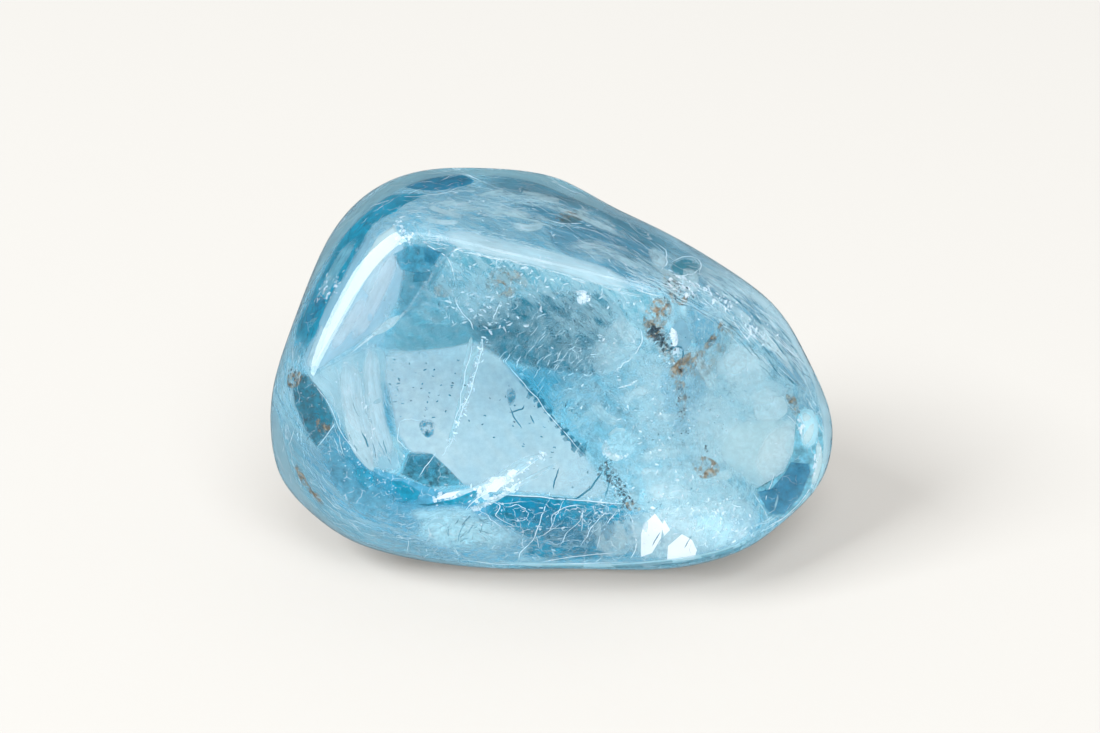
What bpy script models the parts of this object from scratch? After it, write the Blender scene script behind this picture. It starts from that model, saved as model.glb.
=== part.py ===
"""Tumbled blue topaz: one clear pebble, worn round from a broken crystal, resting on its flat underside.

Metres, +Z up. The origin is on the resting face, straight below the core. Seen from the front (along +Y)
the thick end is on the left (-X) and the stone tapers to the right (+X).

A tumbled stone starts as a block bounded by flat cleavage and fracture faces, and the tumbler rounds the
edges between them. The form below is made the same way. Each worn face has a bearing, a tilt and a
distance from the core of the stone, and a power mean blends them into one rounded surface.
"""

from math import cos, pi, radians, sin

import bmesh
import bpy
from mathutils import Vector

MM = 0.001

# ---- driving dimensions, in millimetres and degrees ----

CORE_HEIGHT = 13.5  # height of the core, which the faces are measured from, above the resting face
EDGE_WEAR = 16.0  # power of the blend: a higher one leaves sharper edges between the faces
SPHERE_SUBDIVISIONS = 5

# name: (bearing, tilt, distance). A bearing is 0 towards +X, 90 towards the back, 180 towards -X and
# 270 towards the front. A tilt is how far the face looks above the horizon.
WORN_FACES = {
    "front": (266, 17, 13.0),
    "front_right": (311, 10, 14.9),
    "left": (197, 32, 18.7),
    "left_low": (222, -17, 18.4),
    "left_under": (195, -66, 17.0),
    "top_left": (165, 65, 16.8),
    "top": (12, 77, 11.6),
    "slope": (12, 59, 13.3),
    "right": (1, 1, 21.2),
    "right_front": (322, 13, 15.9),
    "right_under": (335, -58, 17.8),
    "under_front": (267, -42, 13.5),
    "back": (105, 19, 12.9),
    "back_right": (43, 30, 12.1),
    "back_left": (157, 9, 16.5),
    "back_under": (93, -44, 13.0),
    "back_right_under": (45, -32, 17.2),
    "back_left_under": (144, -48, 17.1),
    "base": (0, -90, 14.0),
}

# Slow waves that a tumbler leaves in a surface: (bearing, tilt, waves across the stone, height)
SWELLS = (
    (20, 15, 2.3, 0.10),
    (110, -35, 2.9, 0.08),
    (250, 50, 3.7, 0.05),
)

# Shallow hollows where a chip was worn smooth: (bearing, tilt, angular radius, depth)
HOLLOWS = (
    (287, -55, 9, 0.35),
    (334, -22, 10, 0.25),
    (75, 38, 14, 0.40),
    (140, -28, 12, 0.35),
    (205, 44, 11, 0.20),
)

TOPAZ_COLOUR = (0.34, 0.68, 0.84, 1.0)
TOPAZ_IOR = 1.62


def facing(bearing, tilt):
    """Unit vector at this bearing and tilt, both in degrees."""
    b, t = radians(bearing), radians(tilt)
    return Vector((cos(t) * cos(b), cos(t) * sin(b), sin(t)))


def worn_radius(way):
    """Distance from the core to the blend of the worn faces, along the unit vector way."""
    total = 0.0
    for bearing, tilt, distance in WORN_FACES.values():
        total += max(0.0, way.dot(facing(bearing, tilt)) / distance) ** EDGE_WEAR
    return total ** (-1 / EDGE_WEAR)


def swell(way):
    """Height of the tumbler's waves at this direction."""
    return sum(
        height * sin(waves * pi * way.dot(facing(bearing, tilt)))
        for bearing, tilt, waves, height in SWELLS
    )


def hollow(way):
    """Depth of the shallow hollows at this direction. Each one fades out smoothly at its rim."""
    depth = 0.0
    for bearing, tilt, spread, deepest in HOLLOWS:
        apart = way.angle(facing(bearing, tilt)) / radians(spread)
        if apart < 1:
            depth += deepest * (1 - apart * apart) ** 2
    return depth


def pebble_mesh():
    """A sphere pushed out to the worn faces, cut flat where the stone rests."""
    bm = bmesh.new()
    bmesh.ops.create_icosphere(bm, subdivisions=SPHERE_SUBDIVISIONS, radius=1.0)
    core = Vector((0, 0, CORE_HEIGHT))
    for vertex in bm.verts:
        way = vertex.co.normalized()
        vertex.co = (core + way * (worn_radius(way) + swell(way) - hollow(way))) * MM
    everything = bm.verts[:] + bm.edges[:] + bm.faces[:]
    cut = bmesh.ops.bisect_plane(
        bm, geom=everything, plane_co=(0, 0, 0), plane_no=(0, 0, -1), clear_outer=True
    )
    rim = [edge for edge in cut["geom_cut"] if isinstance(edge, bmesh.types.BMEdge)]
    bmesh.ops.contextual_create(bm, geom=rim)
    bmesh.ops.recalc_face_normals(bm, faces=bm.faces[:])
    mesh = bpy.data.meshes.new("blue_topaz")
    bm.to_mesh(mesh)
    bm.free()
    return mesh


def topaz_material():
    """Clear pale blue topaz with a polished surface."""
    material = bpy.data.materials.new("topaz")
    material.use_nodes = True
    shader = material.node_tree.nodes["Principled BSDF"]
    shader.inputs["Base Color"].default_value = TOPAZ_COLOUR
    shader.inputs["Roughness"].default_value = 0.03
    shader.inputs["Metallic"].default_value = 0.0
    shader.inputs["IOR"].default_value = TOPAZ_IOR
    shader.inputs["Transmission Weight"].default_value = 1.0
    return material


def build():
    for old in list(bpy.data.objects):
        bpy.data.objects.remove(old)
    collection = bpy.data.collections.new("Blue topaz")
    bpy.context.scene.collection.children.link(collection)
    mesh = pebble_mesh()
    mesh.shade_smooth()
    mesh.set_sharp_from_angle(angle=radians(60))
    mesh.materials.append(topaz_material())
    collection.objects.link(bpy.data.objects.new("blue_topaz", mesh))


build()
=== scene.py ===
"""Looks of the blue topaz: the clear stone, what lies inside it, and the studio around it.

Lengths are in millimetres, and become metres where a mesh is made. A place inside the stone is named by
the point of the photograph where it shows, in its 1100 by 733 frame, and by its depth: how far it lies
behind the surface, along the line of sight that the surface refracts.
"""

from collections import namedtuple
from math import cos, pi, radians, sin

import bmesh
import bpy
import numpy as np
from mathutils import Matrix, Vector
from mathutils.geometry import delaunay_2d_cdt


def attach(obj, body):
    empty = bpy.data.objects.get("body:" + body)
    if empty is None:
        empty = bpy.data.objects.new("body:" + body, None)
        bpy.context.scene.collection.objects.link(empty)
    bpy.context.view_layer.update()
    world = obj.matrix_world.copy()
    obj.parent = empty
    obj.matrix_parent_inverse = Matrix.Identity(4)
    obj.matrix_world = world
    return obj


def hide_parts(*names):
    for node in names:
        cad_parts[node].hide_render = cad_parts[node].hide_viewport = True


MM = 0.001

# ---- the stone's form, as in the CAD part ----

CORE_HEIGHT = 13.5
EDGE_WEAR = 16.0
SPHERE_SUBDIVISIONS, FLECK_SUBDIVISIONS = 7, 5
SHARP_ANGLE = radians(60)  # the edge where the stone is cut flat is sharper than this
WORN_FACES = {
    "front": (266, 17, 13.0),
    "front_right": (311, 10, 14.9),
    "left": (197, 32, 18.7),
    "left_low": (222, -17, 18.4),
    "left_under": (195, -66, 17.0),
    "top_left": (165, 65, 16.8),
    "top": (12, 77, 11.6),
    "slope": (12, 59, 13.3),
    "right": (1, 1, 21.2),
    "right_front": (322, 13, 15.9),
    "right_under": (335, -58, 17.8),
    "under_front": (267, -42, 13.5),
    "back": (105, 19, 12.9),
    "back_right": (43, 30, 12.1),
    "back_left": (157, 9, 16.5),
    "back_under": (93, -44, 13.0),
    "back_right_under": (45, -32, 17.2),
    "back_left_under": (144, -48, 17.1),
    "base": (0, -90, 14.0),
}
SWELLS = (
    (20, 15, 2.3, 0.10),
    (110, -35, 2.9, 0.08),
    (250, 50, 3.7, 0.05),
)
HOLLOWS = (
    (287, -55, 9, 0.35),
    (334, -22, 10, 0.25),
    (75, 38, 14, 0.40),
    (140, -28, 12, 0.35),
    (205, 44, 11, 0.20),
)
CORE = np.array((0.0, 0.0, CORE_HEIGHT))
TOPAZ_IOR = 1.62

# ---- the camera ----

PHOTO_WIDTH, PHOTO_HEIGHT = 1100.0, 733.0
LENS, SENSOR = 100.0, 36.0
CAMERA_TILT = radians(24)
CAMERA_DISTANCE = 218.0
CAMERA_TARGET = np.array((0.0, 0.0, 13.5))
PIXELS_PER_TANGENT = LENS / SENSOR * PHOTO_WIDTH
LOOK = np.array((0.0, cos(CAMERA_TILT), -sin(CAMERA_TILT)))
RISE = np.array((0.0, sin(CAMERA_TILT), cos(CAMERA_TILT)))
ACROSS = np.array((1.0, 0.0, 0.0))
EYE = CAMERA_TARGET - LOOK * CAMERA_DISTANCE

CLEAR_WINDOW = (252, 2)  # where, from the core, the stone is clearest
CLEAR_FROM, CLEAR_OVER = 0.72, 0.16  # the cosine at the window's edge, and how far it takes to clear

# ---- the light ----

WALLS = (0.93, 0.91, 0.88, 1)
CEILING = (0.06, 0.19, 0.21, 1)
WALLS_UP_TO, CEILING_FROM = 0.38, 0.75  # the sine of the angle above the horizon
ALL_AROUND = (2.0, 1.97, 1.93, 1)
MIRRORED_ROOM = (0.15, 0.17, 0.18, 1)
FLOOR_RADIUS, FLOOR_SIDES = 3.0, 128  # metres, as are the places and sizes of the lamps and the card
FLOOR_DROP = 0.05  # mm below the stone, so that the two don't touch
FLOOR_COLOUR, FLOOR_GLOW = (0.03, 0.03, 0.03, 1), 0.70
FLOOR_TINT, FLOOR_TINT_SEEN_STRAIGHT = (1.0, 0.955, 0.905, 1), (1.0, 0.93, 0.85, 1)
STRIP_CARD_CORNERS = ((-0.42, 0.42), (0.28, 0.46), (0.20, 0.0), (0.04, -0.26), (-0.07, -0.27), (-0.28, 0.0))
STRIP_CARD_PLACE, STRIP_CARD_RADIANCE = (-0.50, -0.10, 0.24), 5.5
LAMP_POWER = 4  # watts of a lamp for each square metre and each unit of its radiance
MIDDLE = (0, 0, 0)
SOFTBOXES = (  # name, place, target, size, radiance, whether it is mirrored or else lights matt things
    ("overhead", (0.10, 0.0, 0.60), (0.1, 0, 0), (0.70, 0.30), 0.10, True),
    ("overhead_core", (0.10, 0.0, 0.59), (0.1, 0, 0), (0.60, 0.14), 1.45, True),
    ("key", (-1.50, -0.93, 1.57), MIDDLE, (0.93, 0.93), 100, False),
    ("fill", (0.30, -1.55, 1.65), MIDDLE, (1.20, 1.20), 40.5, False),
)


def facing(bearing, tilt):
    """The unit vector with this bearing and this tilt above the horizon, in degrees."""
    b, t = radians(bearing), radians(tilt)
    return np.array((cos(t) * cos(b), cos(t) * sin(b), sin(t)))


def unit(vectors):
    return vectors / np.linalg.norm(vectors, axis=-1)[..., None]


def surface_radius(ways):
    """Distance from the core to the stone's surface along each unit vector."""
    total = np.zeros(ways.shape[:-1])
    for bearing, tilt, distance in WORN_FACES.values():
        total += np.maximum(0.0, ways @ facing(bearing, tilt) / distance) ** EDGE_WEAR
    radius = total ** (-1 / EDGE_WEAR)
    for bearing, tilt, waves, height in SWELLS:
        radius += height * np.sin(waves * pi * (ways @ facing(bearing, tilt)))
    for bearing, tilt, spread, deepest in HOLLOWS:
        apart = np.arccos(np.clip(ways @ facing(bearing, tilt), -1, 1)) / radians(spread)
        radius -= deepest * np.maximum(0.0, 1 - apart * apart) ** 2
    return radius


def outside_by(points):
    """How far each point lies outside the stone. It is negative inside."""
    arms = points - CORE
    length = np.linalg.norm(arms, axis=-1)
    return np.maximum(length - surface_radius(arms / length[..., None]), -points[..., 2])


def surface_normals(points):
    step = 0.03  # mm
    slope = [outside_by(points + way) - outside_by(points - way) for way in np.eye(3) * step]
    return unit(np.stack(slope, -1))


# ---- from a point of the photograph to a place in the stone ----

MAP_LEFT, MAP_RIGHT, MAP_TOP, MAP_BOTTOM, MAP_STEP = 262, 842, 158, 578, 2
MARCH_FROM, MARCH_TO = CAMERA_DISTANCE - 35.0, CAMERA_DISTANCE + 30  # where a sight line can meet the stone
MARCH_STEPS, MARCH_PACE = 40, 0.8
MET_WITHIN = 0.05  # mm from the surface
LEAST_INTO = 0.12  # the cosine below which a sight line only grazes the stone
FIRST_ROOM, ROOM_STEPS = 0.3, 30
SKIN = 0.25  # nothing inside comes closer to the surface than this


def sight_lines(x, y):
    """The directions in which the camera looks at these points of the photograph."""
    x, y = (x - PHOTO_WIDTH / 2) / PIXELS_PER_TANGENT, (y - PHOTO_HEIGHT / 2) / PIXELS_PER_TANGENT
    return unit(LOOK + x[..., None] * ACROSS - y[..., None] * RISE)


def spread_to_edges(values, known):
    """Fills each place that isn't known from the nearest known one in its row, then from the nearest row."""
    rows = [i for i in range(len(values)) if known[i].any()]
    for i in rows:
        columns = np.flatnonzero(known[i])
        nearest = np.clip(np.arange(values.shape[1]), columns[0], columns[-1])
        values[i] = values[i][nearest]
    for i in range(len(values)):
        values[i] = values[min(rows, key=lambda row: abs(row - i))]
    return values


def sight_map():
    """Where each sight line enters the stone, its refracted direction, and how far it then runs inside."""
    x, y = np.meshgrid(np.arange(MAP_LEFT, MAP_RIGHT + 1, MAP_STEP, dtype=float),
                       np.arange(MAP_TOP, MAP_BOTTOM + 1, MAP_STEP, dtype=float))
    ways = sight_lines(x, y)
    reach = np.full(x.shape, MARCH_FROM)
    for _ in range(MARCH_STEPS):
        reach = np.minimum(reach + MARCH_PACE * outside_by(EYE + ways * reach[..., None]), MARCH_TO)
    entries = EYE + ways * reach[..., None]
    met = outside_by(entries) < MET_WITHIN
    normals = surface_normals(entries)
    into = -(ways * normals).sum(-1)
    met &= into > LEAST_INTO
    bend = into / TOPAZ_IOR - np.sqrt(1 - (1 - into * into) / TOPAZ_IOR**2)
    ways = unit(ways / TOPAZ_IOR + bend[..., None] * normals)
    room = np.full(x.shape, FIRST_ROOM)
    for _ in range(ROOM_STEPS):
        room = room + np.maximum(0.0, -MARCH_PACE * outside_by(entries + ways * room[..., None]))
    return spread_to_edges(np.concatenate([entries, ways, room[..., None]], -1), met)


SIGHTS = sight_map()


def inside(x, y, depth):
    """The places in the stone that show at these points of the photograph, this far behind the surface."""
    rows, columns = SIGHTS.shape[:2]
    u = np.clip((np.asarray(x, float) - MAP_LEFT) / MAP_STEP, 0, columns - 1.001)
    v = np.clip((np.asarray(y, float) - MAP_TOP) / MAP_STEP, 0, rows - 1.001)
    i, j = v.astype(int), u.astype(int)
    a, b = (v - i)[..., None], (u - j)[..., None]
    sight = ((SIGHTS[i, j] * (1 - b) + SIGHTS[i, j + 1] * b) * (1 - a)
             + (SIGHTS[i + 1, j] * (1 - b) + SIGHTS[i + 1, j + 1] * b) * a)
    depth = np.clip(depth, SKIN, np.maximum(sight[..., 6] - SKIN, SKIN))
    return sight[..., :3] + unit(sight[..., 3:6]) * depth[..., None]


# ---- small mathematics ----


def smooth_curve(points, closed=False, spans=8):
    """A Catmull-Rom curve through the points."""
    points = np.asarray(points, float)
    if closed:
        points = np.concatenate([points[-1:], points, points[:2]])
    else:
        points = np.concatenate([2 * points[:1] - points[1:2], points, 2 * points[-1:] - points[-2:-1]])
    t = np.linspace(0, 1, spans, endpoint=False)[:, None]
    pieces = []
    for a, b, c, d in zip(points, points[1:], points[2:], points[3:]):
        pieces.append(0.5 * (2 * b + (c - a) * t + (2 * a - 5 * b + 4 * c - d) * t**2
                             + (3 * b - a - 3 * c + d) * t**3))
    if not closed:
        pieces.append(points[-2:-1])
    return np.concatenate(pieces)


def ripple(x, y, wavelength, seed):
    """A smooth uneven wave between about -1 and 1."""
    rng = np.random.default_rng(seed)
    total = 0
    for _ in range(5):
        turn, shift = rng.uniform(0, 2 * pi, 2)
        wave = 2 * pi / (wavelength * rng.uniform(0.6, 1.6))
        total = total + np.sin(wave * (x * cos(turn) + y * sin(turn)) + shift)
    return total / 3


# ---- films inside the stone ----

LIGHT_INSIDE = np.array((1.30, 1.16, 1.20))  # how bright a white film inside the stone looks
SHEEN = 0.03  # the brightness that the surface mirrors over it
PIXELS_PER_MM = 14
SEEDS = 977  # a film's seed is the number of faces before it, below this
RINGS = 12  # rows of points from a film's middle to its edge
BAND_COLUMNS = 7

# tone is the albedo. The others run from 0 to 1: how much of the film is missing in patches, how strong the
# fine pale lines on it are, and how mottled its tone is.
Film = namedtuple("Film", "tone gaps wisps contrast")


def seen(red, green, blue):
    """The albedo of a film that shows as this sRGB colour inside the stone."""
    linear = ((np.array((red, green, blue)) / 255 + 0.055) / 1.055) ** 2.4
    return tuple(np.clip((linear - SHEEN) / LIGHT_INSIDE, 0, 1))


def toned(film, red, green, blue, **other):
    """A film like this one that shows as another colour."""
    return film._replace(tone=seen(red, green, blue), **other)


DEEP = Film(seen(8, 150, 186), 0.0, 0.15, 0.45)
OCEAN = Film(seen(0, 172, 204), 0.0, 0.3, 0.40)
TEAL = Film(seen(56, 150, 172), 0.1, 0.4, 0.35)
CYAN = Film(seen(50, 164, 198), 0.1, 0.4, 0.35)
DUSK = Film(seen(90, 156, 178), 0.05, 0.5, 1.0)
HOLLOW = Film(seen(54, 122, 144), 0.1, 0.35, 0.6)
STEEL = Film(seen(94, 158, 182), 0.1, 0.6, 0.40)
SLATE = Film(seen(116, 164, 188), 0.1, 0.6, 0.25)
SKY = Film(seen(122, 184, 210), 0.1, 0.6, 0.30)
AZURE = Film(seen(112, 184, 216), 0.1, 0.5, 0.28)
MILK = Film(seen(148, 194, 212), 0.15, 0.5, 0.8)
RIM = Film(seen(168, 202, 220), 0.1, 0.3, 0.15)
LAVENDER = Film(seen(160, 203, 226), 0.1, 0.12, 0.12)
LIT = Film(seen(224, 258, 270), 0.25, 0.4, 0.12)
FROST = Film(seen(224, 243, 252), 0.45, 0.6, 0.16)
FEATHER = Film(seen(222, 242, 250), 0.80, 0.6, 0.10)
WHITE = Film(seen(236, 248, 252), 0.0, 0.0, 0.04)
GREY = Film(seen(140, 160, 168), 0.35, 0.5, 0.40)


# ---- meshes made of many small pieces ----


class Pile:
    """Vertices and faces of pieces that share one material, with each vertex's cover, grain and film."""

    def __init__(self):
        self.vertices, self.faces, self.cover, self.grain, self.tone, self.look = [], [], [], [], [], []

    def add(self, vertices, faces, cover, grain=None, film=None):
        start = sum(len(block) for block in self.vertices)
        vertices = np.asarray(vertices).reshape(-1, 3)
        grain = np.zeros((len(vertices), 2)) if grain is None else np.asarray(grain)
        film = film or MILK
        self.vertices.append(vertices)
        self.faces += [tuple(start + k for k in face) for face in faces]
        self.cover.append(np.broadcast_to(cover, len(vertices)))
        self.grain.append(grain.reshape(-1, 2))
        self.tone.append(np.broadcast_to((*film.tone, 1), (len(vertices), 4)))
        self.look.append(np.broadcast_to((film.gaps, film.wisps, film.contrast, 1), (len(vertices), 4)))

    def mesh(self, name, smooth=True):
        mesh = bpy.data.meshes.new(name)
        mesh.from_pydata((np.concatenate(self.vertices) * MM).tolist(), [], self.faces)
        cover = mesh.attributes.new("cover", "FLOAT", "POINT")
        cover.data.foreach_set("value", np.concatenate(self.cover).astype(np.float32))
        for title, values in (("tone", self.tone), ("look", self.look)):
            colours = mesh.attributes.new(title, "FLOAT_COLOR", "POINT")
            colours.data.foreach_set("color", np.concatenate(values).astype(np.float32).ravel())
        corners = np.zeros(len(mesh.loops), np.int32)
        mesh.loops.foreach_get("vertex_index", corners)
        grain = mesh.uv_layers.new(name="grain")
        grain.data.foreach_set("uv", np.concatenate(self.grain)[corners].astype(np.float32).ravel())
        if smooth:
            mesh.shade_smooth()
        mesh.validate()
        return mesh


def grid_faces(rows, columns, closed=False):
    """The faces of a grid of points. A closed one joins each row's last point to its first."""
    last = columns if closed else columns - 1
    return [(i * columns + j, i * columns + (j + 1) % columns, (i + 1) * columns + (j + 1) % columns,
             (i + 1) * columns + j) for i in range(rows - 1) for j in range(last)]


def straight_edges(points, spans=6):
    """The closed polygon through the points, with some points along each side."""
    points = np.asarray(points, float)
    t = np.linspace(0, 1, spans, endpoint=False)[:, None]
    return np.concatenate([a + (b - a) * t for a, b in zip(points, np.roll(points, -1, axis=0))])


def leaf(pile, outline, depth, film, cover=1.0, soft=0.15, crisp=False, drawn=None, tilt=(0, 0), wave=0.2):
    """A film with an outline. Its depth changes by tilt mm for each 100 px, right and down.

    drawn is the slant in degrees that its grain is drawn out along, and how many times longer.
    """
    seed = len(pile.faces) % SEEDS
    edge = straight_edges(outline) if crisp else smooth_curve(outline, closed=True)
    middle = edge.mean(0)
    r = np.linspace(0, 1, RINGS)[:, None]
    x = middle[0] + r * (edge[:, 0] - middle[0])
    y = middle[1] + r * (edge[:, 1] - middle[1])
    depths = depth + tilt[0] * (x - middle[0]) / 100 + tilt[1] * (y - middle[1]) / 100
    depths = depths + wave * ripple(x, y, 60, seed)
    fade = cover * (1 - r**4) ** soft if soft else cover
    slant, longer = drawn or (0, 1)
    c, k = cos(radians(slant)), sin(radians(slant))
    grain = np.stack([(x * c + y * k) / PIXELS_PER_MM / longer + 7.3 * seed,
                      (y * c - x * k) / PIXELS_PER_MM + 3.1 * seed], -1)
    pile.add(inside(x, y, depths), grid_faces(RINGS, len(edge), True),
             np.broadcast_to(fade, x.shape).ravel(), grain, film)


def band(pile, line, width, depth, film, cover=1.0, soft=0.4, longer=4, wave=0.1, far=None):
    """A film along a line, its grain drawn out along it. Across it, its depth runs from depth to far."""
    seed = len(pile.faces) % SEEDS
    far = depth if far is None else far
    path = smooth_curve(line)
    along = np.gradient(path, axis=0)
    side = unit(np.stack([-along[:, 1], along[:, 0]], -1))
    v = np.linspace(-1, 1, BAND_COLUMNS)
    run = np.linspace(0, 1, len(path))[:, None]
    taper = np.minimum(1, 4 * np.minimum(run, 1 - run) + 0.25)
    x = path[:, :1] + side[:, :1] * v * taper * width / 2
    y = path[:, 1:] + side[:, 1:] * v * taper * width / 2
    depths = depth + (far - depth) * (v + 1) / 2 + wave * ripple(x, y, 50, seed)
    fade = cover * (1 - v**4) ** soft * np.minimum(1, 6 * np.minimum(run, 1 - run)) if soft else cover
    steps = np.linalg.norm(np.diff(path, axis=0), axis=1)
    length = np.concatenate([[0], np.cumsum(steps)]) / PIXELS_PER_MM
    across = v * max(width / 2 / PIXELS_PER_MM, abs(far - depth) / 2)
    grain = np.broadcast_arrays(length[:, None] / longer + 5.7 * seed, across[None] + 2.9 * seed)
    pile.add(inside(x, y, depths), grid_faces(len(path), BAND_COLUMNS),
             np.broadcast_to(fade, x.shape).ravel(), np.stack(grain, -1), film)


OFF_AXIS = (0.31, -0.72, 0.62)  # a direction that no crack line follows


def tube(pile, points, thickness, cover=1.0, sides=4):
    """A thin tube through places in the stone. It tapers to a point at each end."""
    points = np.asarray(points)
    along = unit(np.gradient(points, axis=0) + 1e-9)
    side = unit(np.cross(along, OFF_AXIS))
    lift = np.cross(along, side)
    run = np.linspace(0, 1, len(points))
    radius = thickness / 2 * np.clip(5 * np.minimum(run, 1 - run), 0.08, 1)
    turn = np.arange(sides) * 2 * pi / sides
    rings = (points[:, None] + radius[:, None, None]
             * (side[:, None] * np.cos(turn)[:, None] + lift[:, None] * np.sin(turn)[:, None]))
    pile.add(rings, grid_faces(len(points), sides, True), cover)


def thread(pile, line, depth, thickness=0.08, wander=1.5, cover=1.0, seed=0, slope=0.0):
    """A fine crack line through points of the photograph, that wanders a little."""
    path = smooth_curve(line, spans=6)
    rng = np.random.default_rng(seed)
    x = path[:, 0] + wander * np.convolve(rng.normal(size=len(path)), (0.3, 0.4, 0.3), "same")
    y = path[:, 1] + wander * np.convolve(rng.normal(size=len(path)), (0.3, 0.4, 0.3), "same")
    depths = depth + slope * np.linspace(0, 1, len(path)) + 0.1 * rng.normal(size=len(path))
    tube(pile, inside(x, y, depths), thickness, cover)


def shards(pile, line, spread, count, size, depth, deep=0.6, cover=1.0, seed=0, stretch=1.6, flat=1.2):
    """Small flat flakes scattered along a line of the photograph."""
    rng = np.random.default_rng(seed)
    path = smooth_curve(line) if len(line) > 1 else np.asarray(line, float)
    for _ in range(count):
        x, y = path[rng.integers(len(path))] + rng.normal(size=2) * spread
        centre = inside(x, y, np.array(depth + deep * rng.normal()))
        normal = unit(rng.normal(size=3) - LOOK * flat)
        side = unit(np.cross(normal, rng.normal(size=3)))
        lift = np.cross(normal, side)
        corners = rng.integers(4, 7)
        turn = (np.arange(corners) + rng.uniform(-0.3, 0.3, corners)) * 2 * pi / corners
        reach = size * rng.uniform(0.35, 1.0) * rng.uniform(0.6, 1.1, corners) / 2
        points = (centre + (reach * np.cos(turn) * stretch)[:, None] * side
                  + (reach * np.sin(turn))[:, None] * lift
                  + 0.08 * size * rng.normal(size=(corners, 1)) * normal)
        if outside_by(points).max() < -0.1:
            pile.add(points, [tuple(range(corners))], cover * rng.uniform(0.5, 1.0))


def dashes(pile, line, width, count, length, depth, thickness=0.04, cover=1.0, seed=0, turn=0.15, deep=0.3):
    """Fine scratches and fibres that run along a line of the photograph."""
    rng = np.random.default_rng(seed)
    path = smooth_curve(line)
    along = unit(np.gradient(path, axis=0))
    for _ in range(count):
        k = rng.integers(len(path))
        swing = turn * rng.normal()
        way = np.array((along[k, 0] * cos(swing) - along[k, 1] * sin(swing),
                        along[k, 0] * sin(swing) + along[k, 1] * cos(swing)))
        side = np.array((-way[1], way[0]))
        middle = path[k] + np.array((-along[k, 1], along[k, 0])) * rng.uniform(-0.5, 0.5) * width
        half = length * rng.uniform(0.25, 1.0) / 2
        t = np.linspace(-1, 1, 6)
        bend = half * rng.normal() * 0.12
        x = middle[0] + way[0] * half * t + side[0] * (bend * t * t + 0.3 * rng.normal(size=6))
        y = middle[1] + way[1] * half * t + side[1] * (bend * t * t + 0.3 * rng.normal(size=6))
        depths = depth + deep * (rng.normal() + 0.3 * rng.normal() * t)
        tube(pile, inside(x, y, depths), thickness * rng.uniform(0.5, 1.2), cover * rng.uniform(0.4, 1), 3)


def crackle(pile, outline, spacing, depth, thickness=0.05, cover=1.0, seed=0, slope=(0, 0), kept=0.75):
    """A network of fine cracks that meet, as between cells, inside an outline."""
    rng = np.random.default_rng(seed)
    edge = smooth_curve(outline, closed=True, spans=4)
    low, high = edge.min(0), edge.max(0)
    middle = (low + high) / 2
    count = int(np.prod((high - low) / spacing))
    spots = low + rng.uniform(size=(count, 2)) * (high - low)
    result = delaunay_2d_cdt([Vector(spot) for spot in spots], [], [], 0, 1e-6)
    points, triangles = np.array([tuple(v) for v in result[0]]), result[2]
    centres = np.array([points[list(triangle)].mean(0) for triangle in triangles])
    sharing = {}
    for k, triangle in enumerate(triangles):
        for a, b in zip(triangle, triangle[1:] + triangle[:1]):
            sharing.setdefault((min(a, b), max(a, b)), []).append(k)
    for pair in sharing.values():
        if len(pair) < 2 or rng.uniform() > kept:
            continue
        ends = centres[pair]
        if not all(within(edge, end) for end in ends):
            continue
        t = np.linspace(0, 1, 5)[:, None]
        run = ends[0] + (ends[1] - ends[0]) * t + rng.normal(size=(5, 2)) * spacing * 0.05
        depths = (depth + slope[0] * (run[:, 0] - middle[0]) / 100 + slope[1] * (run[:, 1] - middle[1]) / 100
                  + 0.25 * ripple(run[:, 0], run[:, 1], 40, seed))
        tube(pile, inside(run[:, 0], run[:, 1], depths), thickness * rng.uniform(0.5, 1.3),
             cover * rng.uniform(0.35, 1), 3)


FAR_LOWEST, FAR_HIGHEST = (12, -30), (160, 44)  # the bearings and tilts between which the far cracks start
FAR_STEP = 2.6  # degrees


def far_side(spots, depth):
    """Places this deep under the back of the stone. Each spot is its bearing and tilt from the core."""
    ways = np.array([facing(*spot) for spot in spots])
    return CORE + ways * (surface_radius(ways) - depth)[:, None]


def far_veil(pile, outline, depth, film, cover=0.8, soft=0.6):
    """A film under the back of the stone."""
    edge = smooth_curve(outline, closed=True)
    r = np.linspace(0, 1, RINGS)[:, None]
    spots = (edge.mean(0) + r[..., None] * (edge - edge.mean(0))).reshape(-1, 2)
    fade = np.broadcast_to(cover * (1 - r**4) ** soft, (RINGS, len(edge))).ravel()
    pile.add(far_side(spots, depth), grid_faces(RINGS, len(edge), True), fade, spots / 4, film)


def far_cracks(pile, count, seed):
    """Fine crack lines that wander under the back of the stone."""
    rng = np.random.default_rng(seed)
    for _ in range(count):
        heading = rng.choice((-0.9, 0.6)) + rng.normal(0, 0.35)
        spots = [rng.uniform(FAR_LOWEST, FAR_HIGHEST)]
        for _ in range(rng.integers(6, 18)):
            heading += rng.normal(0, 0.22)
            spots.append(spots[-1] + FAR_STEP * np.array((cos(heading), sin(heading))))
        path = far_side(smooth_curve(spots, spans=3), rng.uniform(0.4, 1.2))
        tube(pile, path, rng.uniform(0.05, 0.12), 0.9)


def within(edge, point):
    """True if the point lies inside the closed edge."""
    a, b = edge, np.roll(edge, -1, axis=0)
    crossing = (a[:, 1] > point[1]) != (b[:, 1] > point[1])
    rise = np.where(crossing, b[:, 1] - a[:, 1], 1)
    at = a[:, 0] + (point[1] - a[:, 1]) / rise * (b[:, 0] - a[:, 0])
    return np.count_nonzero(crossing & (at > point[0])) % 2 == 1


# ---- materials ----

WISP_COLOUR = (0.90, 0.96, 1.0, 1)
RUST_TAN, RUST_BROWN, RUST_BLACK = (0.52, 0.48, 0.38, 1), (0.30, 0.20, 0.11, 1), (0.035, 0.035, 0.03, 1)


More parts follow.
